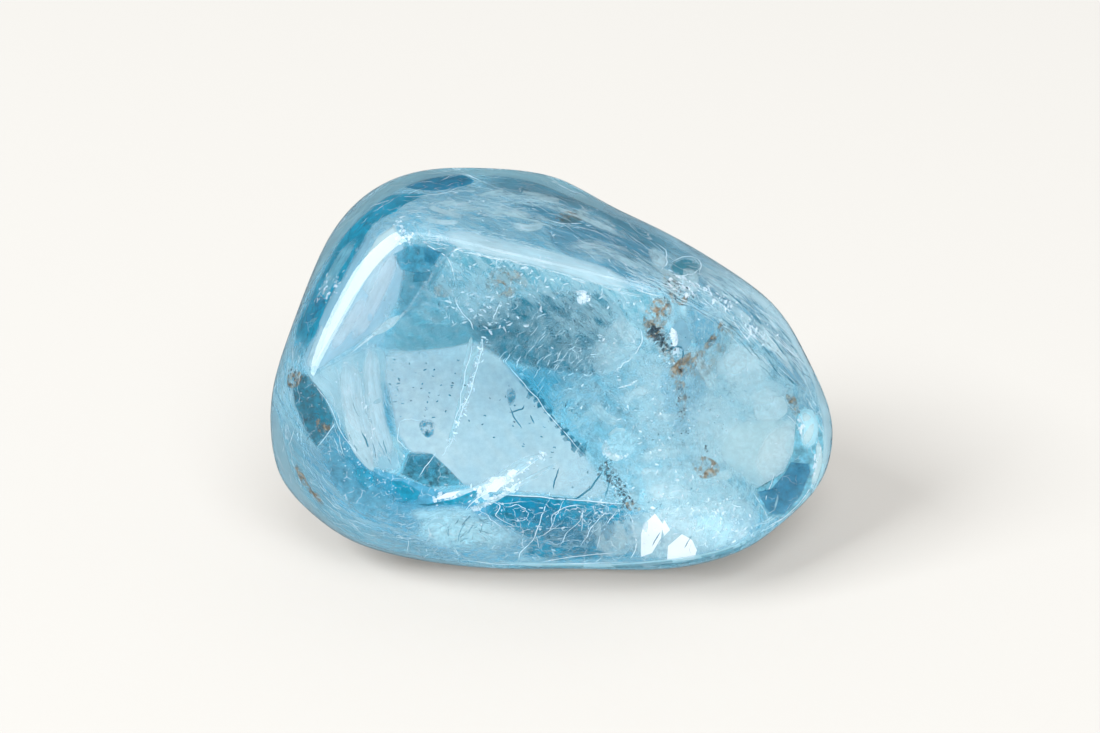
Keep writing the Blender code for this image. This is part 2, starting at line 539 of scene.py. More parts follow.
MIX_FACTOR, MIX_LOW, MIX_HIGH, MIX_RESULT = 0, 6, 7, 2  # the sockets of a Mix node that mixes colours


def principled_material(name):
    material = bpy.data.materials.new(name)
    material.use_nodes = True
    return material, material.node_tree.nodes, material.node_tree.links


def new_material(name):
    material, nodes, links = principled_material(name)
    nodes.remove(nodes["Principled BSDF"])
    return material, nodes, links


def add_node(nodes, kind, settings=(), values=()):
    made = nodes.new(kind)
    for key, value in dict(settings).items():
        setattr(made, key, value)
    for key, value in dict(values).items():
        made.inputs[key].default_value = value
    return made


def feed(links, socket, value):
    """Links a socket to the output of another node, or sets it to a plain value."""
    if isinstance(value, bpy.types.NodeSocket):
        links.new(value, socket)
    else:
        socket.default_value = value


def math_node(nodes, links, operation, *values, clamp=True):
    made = add_node(nodes, "ShaderNodeMath", {"operation": operation, "use_clamp": clamp})
    for socket, value in zip(made.inputs, values):
        feed(links, socket, value)
    return made.outputs[0]


def colour_mix(nodes, links, factor, low, high):
    """The colour low where the factor is 0, and high where it is 1."""
    made = add_node(nodes, "ShaderNodeMix", {"data_type": "RGBA"})
    for index, value in ((MIX_FACTOR, factor), (MIX_LOW, low), (MIX_HIGH, high)):
        feed(links, made.inputs[index], value)
    return made.outputs[MIX_RESULT]


def map_range(nodes, links, value, low, high):
    made = add_node(nodes, "ShaderNodeMapRange", {"interpolation_type": "SMOOTHSTEP"},
                    {"From Min": low, "From Max": high})
    links.new(value, made.inputs["Value"])
    return made.outputs[0]


def noise_node(nodes, links, place, scale, detail, roughness, distortion=0.0):
    made = add_node(nodes, "ShaderNodeTexNoise", {},
                    {"Scale": scale, "Detail": detail, "Roughness": roughness, "Distortion": distortion})
    links.new(place, made.inputs["Vector"])
    return made.outputs[0]


def in_millimetres(nodes, links):
    """The place on the object, in millimetres."""
    made = add_node(nodes, "ShaderNodeMapping", {}, {"Scale": (1000, 1000, 1000)})
    links.new(add_node(nodes, "ShaderNodeTexCoord").outputs["Object"], made.inputs["Vector"])
    return made.outputs[0]


def carried(nodes, name, output="Color"):
    """A value that the mesh carries at each point."""
    return add_node(nodes, "ShaderNodeAttribute", {"attribute_name": name}).outputs[output]


def cover_of(nodes):
    """How much of a film shows at each point."""
    return carried(nodes, "cover", "Fac")


def topaz_material():
    """Clear pale blue topaz with a polished surface."""
    material, nodes, links = principled_material("topaz")
    shader = nodes["Principled BSDF"].inputs
    shader["Base Color"].default_value = (0.97, 0.92, 0.98, 1)
    shader["Roughness"].default_value = 0.0
    shader["IOR"].default_value = TOPAZ_IOR
    shader["Transmission Weight"].default_value = 1.0
    volume = add_node(nodes, "ShaderNodeVolumeAbsorption", {},
                      {"Color": (0.22, 0.86, 0.97, 1), "Density": 40})
    links.new(volume.outputs[0], nodes["Material Output"].inputs["Volume"])
    return material


def see_through(nodes, links, shader, alpha):
    """Lets the surface show only where alpha is high, and what is behind it elsewhere."""
    clear = add_node(nodes, "ShaderNodeBsdfTransparent")
    mix = add_node(nodes, "ShaderNodeMixShader")
    links.new(alpha, mix.inputs[0])
    links.new(clear.outputs[0], mix.inputs[1])
    links.new(shader, mix.inputs[2])
    links.new(mix.outputs[0], nodes["Material Output"].inputs["Surface"])


def mottled_tone(nodes, links, grain, tone, contrast):
    """The film's own colour, lighter and darker in patches."""
    noise = noise_node(nodes, links, grain, scale=1.7, detail=5, roughness=0.70)
    mottle = add_node(nodes, "ShaderNodeMapRange", {},
                      {"From Min": 0.30, "From Max": 0.70, "To Min": -1.0, "To Max": 1.0})
    links.new(noise, mottle.inputs["Value"])
    made = add_node(nodes, "ShaderNodeVectorMath", {"operation": "SCALE"})
    links.new(tone, made.inputs[0])
    links.new(math_node(nodes, links, "MULTIPLY_ADD", mottle.outputs[0], contrast, 1.0, clamp=False),
              made.inputs["Scale"])
    return made.outputs[0]


def wisps_on(nodes, links, grain, wisps):
    """Fine lines that meet like cracks, on some patches of a film. wisps says how strong they are."""
    shake = add_node(nodes, "ShaderNodeTexNoise", {"noise_dimensions": "2D"},
                     {"Scale": 1.6, "Detail": 2.0, "Roughness": 0.6})
    links.new(grain, shake.inputs["Vector"])
    shaken = add_node(nodes, "ShaderNodeVectorMath", {"operation": "MULTIPLY_ADD"}, {1: (0.5, 0.5, 0.5)})
    links.new(shake.outputs["Color"], shaken.inputs[0])
    links.new(grain, shaken.inputs[2])
    net = add_node(nodes, "ShaderNodeTexVoronoi",
                   {"feature": "DISTANCE_TO_EDGE", "voronoi_dimensions": "2D"},
                   {"Scale": 1.1, "Randomness": 1.0})
    links.new(shaken.outputs[0], net.inputs["Vector"])
    wisp = map_range(nodes, links, net.outputs["Distance"], 0.035, 0.008)
    patch = noise_node(nodes, links, grain, scale=1.3, detail=2, roughness=0.68)
    patch = map_range(nodes, links, patch, 0.48, 0.60)
    wisp = math_node(nodes, links, "MULTIPLY", wisp, patch)
    return math_node(nodes, links, "MULTIPLY", wisp, wisps)


def film_material(name):
    """A film in the stone: mottled in tone, with gaps in it and fine pale wisps over it."""
    material, nodes, links = new_material(name)
    look = add_node(nodes, "ShaderNodeSeparateColor")
    links.new(carried(nodes, "look"), look.inputs[0])
    gaps, wisps, contrast = look.outputs[:3]
    grain = add_node(nodes, "ShaderNodeUVMap", {"uv_map": "grain"}).outputs[0]
    wisp = wisps_on(nodes, links, grain, wisps)
    tone = mottled_tone(nodes, links, grain, carried(nodes, "tone"), contrast)
    colour = colour_mix(nodes, links, wisp, tone, WISP_COLOUR)
    body = noise_node(nodes, links, grain, scale=1.5, detail=5, roughness=0.72)
    body = map_range(nodes, links, body, 0.40, 0.62)
    missing = math_node(nodes, links, "MULTIPLY", math_node(nodes, links, "SUBTRACT", 1.0, body), gaps)
    alpha = math_node(nodes, links, "SUBTRACT", 1.0, missing)
    alpha = math_node(nodes, links, "MAXIMUM", alpha, wisp)
    alpha = math_node(nodes, links, "MULTIPLY", alpha, cover_of(nodes))
    shader = add_node(nodes, "ShaderNodeBsdfDiffuse")
    links.new(colour, shader.inputs["Color"])
    see_through(nodes, links, shader.outputs[0], alpha)
    return material


def solid_film_material(name, colour, glint=0.0):
    """A scattering surface that shows as much as its cover says. The glint is painted light of its own,
    standing in for light that the surface catches.
    """
    material, nodes, links = new_material(name)
    matt = add_node(nodes, "ShaderNodeBsdfDiffuse", {}, {"Color": colour})
    shine = add_node(nodes, "ShaderNodeEmission", {}, {"Color": colour, "Strength": glint})
    both = add_node(nodes, "ShaderNodeAddShader")
    links.new(matt.outputs[0], both.inputs[0])
    links.new(shine.outputs[0], both.inputs[1])
    see_through(nodes, links, both.outputs[0], cover_of(nodes))
    return material


def rust_material():
    """Iron stain: tan at its edges, rust brown and nearly black where it is thick."""
    material, nodes, links = new_material("rust_stain")
    place = in_millimetres(nodes, links)
    ramp = add_node(nodes, "ShaderNodeValToRGB")
    stops = ramp.color_ramp.elements
    stops[0].position, stops[0].color = 0.38, RUST_TAN
    stops[1].position, stops[1].color = 0.62, RUST_BLACK
    stops.new(0.50).color = RUST_BROWN
    links.new(noise_node(nodes, links, place, scale=2.4, detail=9, roughness=0.75), ramp.inputs[0])
    shader = add_node(nodes, "ShaderNodeBsdfDiffuse")
    links.new(ramp.outputs[0], shader.inputs["Color"])
    patches = noise_node(nodes, links, place, scale=1.6, detail=9, roughness=0.75)
    patches = map_range(nodes, links, patches, 0.42, 0.60)
    alpha = math_node(nodes, links, "MULTIPLY", patches, cover_of(nodes))
    see_through(nodes, links, shader.outputs[0], alpha)
    return material


def mirror_material():
    """The face of an open fracture: clear head on, and a mirror at a slant."""
    material, nodes, links = new_material("open_fracture")
    place = in_millimetres(nodes, links)
    bump = add_node(nodes, "ShaderNodeBump", {}, {"Strength": 0.8, "Distance": 0.00008})
    height = noise_node(nodes, links, place, scale=1.1, detail=4, roughness=0.55, distortion=0.4)
    links.new(height, bump.inputs["Height"])
    gloss = add_node(nodes, "ShaderNodeBsdfGlossy", {}, {"Color": (1, 1, 1, 1), "Roughness": 0.04})
    links.new(bump.outputs[0], gloss.inputs["Normal"])
    behind = add_node(nodes, "ShaderNodeNewGeometry").outputs["Backfacing"]
    ior = math_node(nodes, links, "MULTIPLY_ADD", behind, TOPAZ_IOR - 1 / TOPAZ_IOR, 1 / TOPAZ_IOR,
                    clamp=False)
    fresnel = add_node(nodes, "ShaderNodeFresnel")
    links.new(ior, fresnel.inputs["IOR"])
    links.new(bump.outputs[0], fresnel.inputs["Normal"])
    patches = noise_node(nodes, links, place, scale=0.9, detail=5, roughness=0.6, distortion=0.5)
    patches = map_range(nodes, links, patches, 0.42, 0.5)
    alpha = math_node(nodes, links, "MULTIPLY", patches, cover_of(nodes))
    alpha = math_node(nodes, links, "MULTIPLY", alpha, fresnel.outputs[0])
    see_through(nodes, links, gloss.outputs[0], alpha)
    return material


def floor_material():
    """A pale matt sheet with some glow of its own, so that the stone's shadow on it stays light."""
    material, nodes, links = principled_material("floor")
    shader = nodes["Principled BSDF"].inputs
    shader["Roughness"].default_value = 0.9
    shader["Specular IOR Level"].default_value = 0.0
    tint = colour_mix(nodes, links, direct_rays(nodes, links), FLOOR_TINT, FLOOR_TINT_SEEN_STRAIGHT)
    colour, glow = FLOOR_COLOUR, FLOOR_GLOW
    for rays, other, change in ((mirrored_rays, (0.01, 0.01, 0.01, 1), -0.58),
                                (direct_rays, (0.080, 0.080, 0.0781, 1), -0.445),
                                (scattered_rays, FLOOR_COLOUR, 1.1)):
        these = rays(nodes, links)
        colour = colour_mix(nodes, links, these, colour, other)
        glow = math_node(nodes, links, "MULTIPLY_ADD", these, change, glow, clamp=False)
    links.new(tint, shader["Emission Color"])
    links.new(colour, shader["Base Color"])
    links.new(glow, shader["Emission Strength"])
    return material


# ---- the stone and its inside ----


def add_piece(name, mesh, material):
    piece = bpy.data.objects.new(name, mesh)
    bpy.context.scene.collection.objects.link(piece)
    mesh.materials.append(material)
    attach(piece, "root")
    return piece


def add_pile(name, pile, material, smooth=True):
    """Adds films or fibres. They don't shade one another: the light that reaches each comes straight in."""
    piece = add_piece(name, pile.mesh(name, smooth), material)
    piece.visible_diffuse = False


def stone_mesh():
    """The worn stone, cut flat where it rests."""
    bm = bmesh.new()
    bmesh.ops.create_icosphere(bm, subdivisions=SPHERE_SUBDIVISIONS, radius=1.0)
    ways = unit(np.array([vertex.co[:] for vertex in bm.verts]))
    points = (CORE + ways * surface_radius(ways)[:, None]) * MM
    for vertex, point in zip(bm.verts, points):
        vertex.co = point
    everything = bm.verts[:] + bm.edges[:] + bm.faces[:]
    cut = bmesh.ops.bisect_plane(
        bm, geom=everything, plane_co=(0, 0, 0), plane_no=(0, 0, -1), clear_outer=True
    )
    rim = [edge for edge in cut["geom_cut"] if isinstance(edge, bmesh.types.BMEdge)]
    bmesh.ops.contextual_create(bm, geom=rim)
    bmesh.ops.recalc_face_normals(bm, faces=bm.faces[:])
    mesh = bpy.data.meshes.new("topaz_stone")
    bm.to_mesh(mesh)
    bm.free()
    mesh.shade_smooth()
    mesh.set_sharp_from_angle(angle=SHARP_ANGLE)
    return mesh


def build_stone():
    stone = add_piece("topaz_stone", stone_mesh(), topaz_material())
    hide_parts("blue_topaz")


LOWEST_FLECKS = 1.5  # the most, in mm, that a fleck film keeps above the flat that the stone rests on
FAINTEST = 0.1  # a fleck film ends where less of it than this would show
FLECK_GRAIN = np.array(((0.8, 0.4), (0.9, -0.3), (0.0, 1.0)))  # from a place in mm to a place on the grain
GRAIN_SHIFT = 31  # how far the grain of each fleck film is shifted, for each mm of its depth


def fleck_shell(pile, depth, film, cover, clear):
    """A film that follows the surface from inside. It fades out towards the clear window."""
    bm = bmesh.new()
    bmesh.ops.create_icosphere(bm, subdivisions=FLECK_SUBDIVISIONS, radius=1.0)
    ways = unit(np.array([vertex.co[:] for vertex in bm.verts]))
    faces = [tuple(vertex.index for vertex in face.verts) for face in bm.faces]
    bm.free()
    points = CORE + ways * (surface_radius(ways) - depth)[:, None]
    points[:, 2] = np.maximum(points[:, 2], min(depth, LOWEST_FLECKS))
    window = 1 - clear * np.clip((ways @ facing(*CLEAR_WINDOW) - CLEAR_FROM) / CLEAR_OVER, 0, 1)
    faces = [face for face in faces if cover * window[list(face)].max() > FAINTEST]
    grain = points @ FLECK_GRAIN + GRAIN_SHIFT * depth
    pile.add(points, faces, cover * window, grain, film)


def build_milky_cloud():
    """The milky body of the stone, behind everything else."""
    pile = Pile()
    leaf(pile, [(298, 374), (316, 318), (342, 264), (370, 226), (402, 220), (406, 262), (394, 300),
                (386, 340), (372, 352), (345, 364)], 2.6, LAVENDER, 0.85, 0.1, True)
    leaf(pile, [(372, 222), (400, 196), (450, 184), (520, 190), (600, 220), (668, 262), (664, 294),
                (600, 282), (500, 254), (430, 238)], 2.2, SKY, 0.9, 0.1, drawn=(14, 3))
    leaf(pile, [(400, 236), (450, 238), (560, 268), (655, 292), (650, 334), (560, 338), (484, 342),
                (440, 350), (388, 350), (398, 300)], 3.0, toned(SKY, 112, 174, 192), 0.9, 0.1)
    band(pile, [(630, 248), (700, 276), (770, 322), (812, 385), (826, 440), (822, 480)], 74, 1.8,
         toned(SLATE, 112, 160, 182), 0.9, 0.1, far=3.0)
    leaf(pile, [(638, 300), (690, 288), (750, 318), (800, 375), (797, 420), (790, 455), (755, 492),
                (752, 530), (700, 552), (642, 556), (634, 515), (622, 490), (606, 460), (616, 380)], 3.6,
         MILK, 0.92, 0.1)
    leaf(pile, [(292, 440), (330, 466), (396, 503), (470, 506), (540, 500), (640, 508), (700, 520),
                (765, 515), (760, 545), (640, 568), (540, 568), (440, 562), (360, 540), (310, 500)], 2.6,
         AZURE, 0.95, 0.1)
    band(pile, [(274, 392), (282, 445), (304, 495), (345, 534), (400, 556), (470, 564)], 44, 1.2,
         toned(AZURE, 142, 192, 212), 0.85, 0.3)
    for row in (  # outline, depth, film, cover, soft, crisp
        ([(558, 372), (618, 378), (650, 400), (640, 440), (608, 470), (590, 455)], 4.0, MILK, 0.6, 0.3),
        ([(620, 320), (700, 300), (780, 350), (800, 400), (750, 480), (670, 520), (625, 440)], 2.4, MILK,
         0.6, 0.3),
        ([(640, 360), (700, 345), (770, 380), (770, 450), (690, 490), (640, 430)], 1.4, FROST, 0.5, 0.5),
        ([(640, 320), (690, 345), (730, 400), (700, 480), (650, 470), (620, 400)], 7.0, MILK, 0.6, 0.3),
        ([(384, 346), (484, 336), (508, 362), (592, 460), (612, 500), (540, 497), (470, 490), (440, 470),
          (400, 446), (386, 400)], 5.0, Film(seen(246, 232, 234), 0.1, 0.1, 0.12), 0.65, 0.1),
    ):
        leaf(pile, *row)
    add_pile("milky_cloud", pile, film_material("milky_film"))


def build_painted_blue_shade_zones():
    """Painted shade: darker blue films with sharp edges, where the facets make the stone look deeper blue,
    and some blue veils under the back.
    """
    pile = Pile()
    leaf(pile, [(401, 184), (416, 177), (434, 173.5), (455, 173), (474, 181), (458, 187.5), (436, 190.5),
                (414, 189)], 0.5, DEEP, 0.97, 0.0, drawn=(-2, 2))
    leaf(pile, [(366, 209), (384, 197), (400, 193), (426, 193.5), (408, 202), (396, 212), (384, 217),
                (372, 226), (360, 240), (347, 246), (350, 228)], 0.5, OCEAN, 0.95, 0.02, drawn=(-35, 2))
    leaf(pile, [(394, 200), (412, 196), (424, 194), (408, 202), (396, 211), (388, 213)], 0.45, DEEP, 0.8,
         0.1)
    band(pile, [(378, 212), (358, 232), (344, 254), (330, 281), (316, 308), (305, 334), (295, 362)], 25, 0.5,
         OCEAN, 0.95, 0.02, 2)
    for row in (  # outline, depth, film, cover, soft, crisp
        ([(313, 300), (322, 296), (326, 304), (318, 312), (309, 322), (306, 318)], 0.4, DEEP, 0.8, 0.1),
        ([(404, 243), (425, 238), (458, 242), (448, 260), (428, 298), (408, 318), (396, 314), (402, 268)],
         0.5, toned(TEAL, 100, 170, 194, wisps=0.1), 0.75, 0.4),
        ([(392, 254), (414, 243), (443, 252), (432, 268), (421, 275), (400, 270)], 0.42,
         toned(TEAL, 92, 170, 198, wisps=0.3, contrast=0.6), 0.85, 0.1, True),
        ([(424, 246), (443, 252), (435, 265), (424, 262)], 0.40, toned(TEAL, 40, 142, 178, wisps=0), 0.6,
         0.25, True),
        ([(414, 272), (433, 271), (428, 281), (412, 283)], 0.40, toned(TEAL, 72, 152, 180, wisps=0), 0.8,
         0.2, True),
        ([(300, 373), (308, 374), (323, 392), (336, 422), (317, 449), (304, 428), (294, 405), (292, 388)],
         0.6, toned(DEEP, 48, 130, 154, contrast=0.8, wisps=0.5), 0.85, 0.12, True),
        ([(317, 449), (336, 424), (352, 450), (378, 474), (404, 484), (421, 494), (415, 505), (392, 503),
          (350, 490), (325, 470)], 1.3, toned(CYAN, 76, 168, 202, contrast=0.5, wisps=0.8), 0.85, 0.3),
        ([(322, 440), (340, 452), (372, 482), (396, 500), (380, 520), (350, 508), (326, 474)], 0.8,
         toned(CYAN, 120, 190, 216, contrast=0.5, wisps=1), 0.75, 0.5),
        ([(388, 481), (402, 480), (421, 492), (418, 500), (404, 502)], 0.8, OCEAN, 0.85, 0.2, True),
        ([(352, 470), (366, 468), (376, 482), (364, 490)], 0.7, OCEAN, 0.6, 0.3),
        ([(409, 453), (432, 453), (447, 466), (465, 485), (428, 488), (400, 474)], 1.6, DUSK, 0.92, 0.1,
         True),
        ([(409, 453), (430, 453), (440, 466), (426, 482), (404, 472)], 1.5, toned(DUSK, 70, 140, 164), 0.6,
         0.4),
        ([(424, 504.5), (453, 499), (480, 488), (477, 497), (466, 503), (450, 505)], 0.9, OCEAN, 0.9, 0.05,
         True),
        ([(490, 493), (524, 496), (558, 497), (624, 504), (629, 515), (636, 545), (630, 558), (560, 562),
          (522, 556), (532, 540), (505, 527), (484, 512)], 1.2,
         toned(OCEAN, 50, 164, 198, contrast=0.55, wisps=1.0), 0.95, 0.02, True),
        ([(500, 498), (545, 500), (560, 512), (540, 524), (512, 516)], 1.0, DEEP, 0.7, 0.3),
        ([(545, 520), (600, 512), (618, 530), (590, 552), (550, 545)], 1.0, DEEP, 0.55, 0.4),
        ([(797, 411), (806, 405), (819, 414), (827, 437), (823, 467), (808, 505), (787, 522), (768, 519),
          (758, 505), (754, 490), (768, 490), (783, 473), (794, 450)], 0.42,
         toned(CYAN, 150, 212, 232, contrast=0.6), 0.92, 0.02, True),
        ([(757, 492), (768, 492), (784, 474), (798, 448), (808, 452), (812, 470), (802, 496), (784, 516),
          (770, 516), (760, 504)], 0.36, toned(CYAN, 70, 146, 182, contrast=0.5), 0.85, 0.15, True),
        ([(462, 324), (482, 305), (520, 296), (560, 289), (604, 291), (625, 310), (628, 336), (604, 374),
          (560, 372), (520, 366), (486, 352)], 2.2, HOLLOW, 0.9, 0.15),
        ([(552, 300), (590, 295), (606, 318), (592, 348), (560, 352), (545, 325)], 1.8,
         toned(HOLLOW, 46, 118, 140), 0.8, 0.4),
    ):
        leaf(pile, *row)
    leaf(pile, [(388, 346), (398, 322), (436, 310), (470, 322), (484, 340), (430, 350)], 1.9,
         toned(HOLLOW, 122, 186, 204), 0.5, 0.6, drawn=(-20, 2))
    band(pile, [(470, 180), (520, 184), (570, 198), (630, 226), (690, 260)], 24, 0.5, STEEL, 0.9, 0.2)
    band(pile, [(500, 208), (560, 214), (620, 238), (668, 266)], 20, 0.6, toned(STEEL, 92, 158, 186), 0.8,
         0.3)
    leaf(pile, [(545, 226), (600, 232), (664, 264), (655, 288), (610, 274), (560, 252)], 0.8,
         toned(STEEL, 104, 168, 196), 0.8, 0.3, drawn=(26, 3))
    band(pile, [(690, 268), (740, 300), (786, 350), (812, 395)], 30, 0.6, toned(STEEL, 104, 158, 184), 0.85,
         0.3)
    leaf(pile, [(671, 266), (684, 259), (699, 264), (697, 275), (678, 275)], 0.5, TEAL, 0.9, 0.1)
    leaf(pile, [(560, 214), (578, 209), (588, 216), (576, 223), (560, 222)], 0.45, toned(GREY, 92, 130, 138),
         0.8, 0.3, drawn=(14, 3))
    leaf(pile, [(419, 424), (425, 419), (434, 422), (434, 434), (427, 438), (421, 432)], 2.6,
         toned(TEAL, 70, 150, 178, wisps=0, gaps=0.9, contrast=0.8), 1.0, 0.3)
    leaf(pile, [(507, 390), (513, 388), (516, 395), (514, 403), (509, 406), (507, 398)], 2.0,
         toned(TEAL, 78, 152, 178, wisps=0, gaps=0.6), 0.9, 0.3)
    leaf(pile, [(664, 360), (700, 352), (712, 372), (700, 420), (680, 440), (660, 400)], 1.2, AZURE, 0.4,
         0.5)
    far_veil(pile, [(58, -28), (90, -36), (130, -34), (150, -18), (128, -14), (96, -20), (70, -14)], 0.9,
             TEAL, 0.8)
    far_veil(pile, [(60, 34), (84, 40), (92, 24), (78, 6), (62, 10)], 1.0, CYAN._replace(gaps=0.3), 0.7)
    far_veil(pile, [(16, 38), (40, 44), (52, 34), (40, 22), (20, 26)], 1.0, TEAL._replace(gaps=0.4), 0.6)
    far_veil(pile, [(118, 36), (146, 30), (152, 6), (138, 2), (124, 18)], 1.1, DUSK._replace(gaps=0.3), 0.7)
    add_pile("painted_blue_shade_zones", pile, film_material("painted_shade_film"))


def build_dark_details():
    """Dark hairlines, dashed crack traces and fine specks of shadow."""
    pile = Pile()
    beads = [(525, 384), (532, 393), (536, 398), (541, 404), (548, 413), (552, 419), (558, 426), (564, 433),
             (570, 439), (576, 445), (582, 451)]
    for k, (x, y) in enumerate(beads):
        shards(pile, [(x, y)], 0.9, 3, 0.62, 1.5, 0.05, 0.95, 129 + k, 2.0, 3.0)
        dashes(pile, [(x - 6, y - 7), (x, y), (x + 5, y + 6)], 3, 3, 9, 1.5, 0.13, 1, 140 + k, 0.1, 0.05)
    for row in (  # line, depth, thickness, wander, cover, seed
        ([(417, 504), (428, 505), (451, 501), (476, 491)], 0.9, 0.16, 0.4, 1, 142),
        ([(492, 494), (524, 497), (558, 498), (624, 505)], 0.9, 0.14, 0.4, 0.8, 143),
        ([(361, 430), (368, 446), (373, 466)], 0.9, 0.12, 0.5, 1, 144),
        ([(606, 466), (592, 486), (580, 496), (566, 504)], 1.2, 0.12, 0.8, 0.9, 149),
        ([(604, 463), (608, 480), (606, 500)], 1.2, 0.10, 0.8, 0.9, 150),
        ([(553, 490), (556, 478), (560, 468)], 1.2, 0.10, 0.8, 0.8, 158),
        ([(760, 494), (770, 484), (778, 474)], 0.6, 0.10, 0.6, 0.8, 159),
        ([(510, 406), (516, 420), (522, 428)], 2.0, 0.09, 0.8, 0.9, 160),
        ([(508, 412), (520, 410), (524, 404)], 2.0, 0.09, 0.8, 0.9, 161),
        ([(530, 414), (534, 424)], 2.0, 0.09, 0.8, 0.9, 162),
        ([(664, 352), (676, 346), (684, 352), (680, 366)], 0.8, 0.12, 0.8, 0.9, 163),
        ([(616, 242), (632, 252), (646, 262), (660, 272)], 0.45, 0.13, 0.5, 0.9, 164),
        ([(548, 224), (576, 230), (604, 240)], 0.45, 0.14, 0.5, 0.8, 165),
        ([(700, 272), (738, 300), (776, 342), (798, 376)], 0.45, 0.10, 0.6, 0.7, 166),
        ([(660, 532), (652, 546)], 0.5, 0.08, 0.6, 0.8, 167),
        ([(692, 536), (684, 548)], 0.5, 0.08, 0.6, 0.8, 168),
    ):
        thread(pile, *row)
    for row in (  # line, width, count, length, depth, thickness, cover, seed, turn, deep
        ([(296, 362), (306, 318), (330, 268), (362, 222), (398, 196)], 24, 90, 18, 0.42, 0.07, 0.8, 151,
         0.1),
        ([(470, 184), (540, 200), (600, 230), (660, 266), (740, 310), (800, 372)], 50, 170, 34, 0.5, 0.08,
         0.7, 152, 0.06, 0.1),
        ([(350, 400), (366, 440), (376, 470)], 40, 12, 18, 0.7, 0.06, 0.9, 153, 0.1, 0.1),
        ([(560, 340), (640, 420), (700, 480)], 200, 110, 4, 1.2, 0.08, 0.7, 154, 1.5, 0.6),
        ([(436, 535), (470, 530), (486, 532)], 26, 26, 16, 0.7, 0.07, 0.9, 156, 0.5, 0.1),
    ):
        dashes(pile, *row)
    thread(pile, [(470, 516), (462, 528), (458, 544)], 0.7, 0.07, 1.0, 0.9, 171)
    thread(pile, [(476, 520), (470, 530), (462, 536)], 0.7, 0.06, 1.0, 0.9, 172)
    thread(pile, [(452, 522), (448, 530), (450, 540)], 0.7, 0.06, 1.0, 0.8, 173)
    dashes(pile, [(382, 381), (450, 394), (560, 425)], 70, 80, 4, 2.0, 0.09, 0.8, 157, 0.5)
    dashes(pile, [(300, 380), (314, 410), (320, 440)], 26, 60, 6, 0.5, 0.10, 0.8, 169, 0.8, 0.1)
    dashes(pile, [(440, 300), (520, 320), (610, 340)], 60, 90, 5, 1.8, 0.08, 0.7, 170, 1.0, 0.4)
    add_pile("dark_details", pile, solid_film_material("dark_hairline", (*seen(84, 152, 176), 1)))


def build_fine_flecks():
    """Wispy flecks all through the stone, on films that follow its surface, one inside another."""
    pile = Pile()
    fleck_shell(pile, 0.8, Film(seen(200, 228, 240), 0.97, 0.45, 0.1), 0.50, 0.85)
    fleck_shell(pile, 1.7, Film(seen(196, 226, 238), 0.97, 0.7, 0.1), 0.60, 0.90)
    fleck_shell(pile, 3.4, Film(seen(150, 198, 218), 0.60, 1.0, 0.3), 0.55, 0.95)
    add_pile("fine_flecks", pile, film_material("fleck_film"))


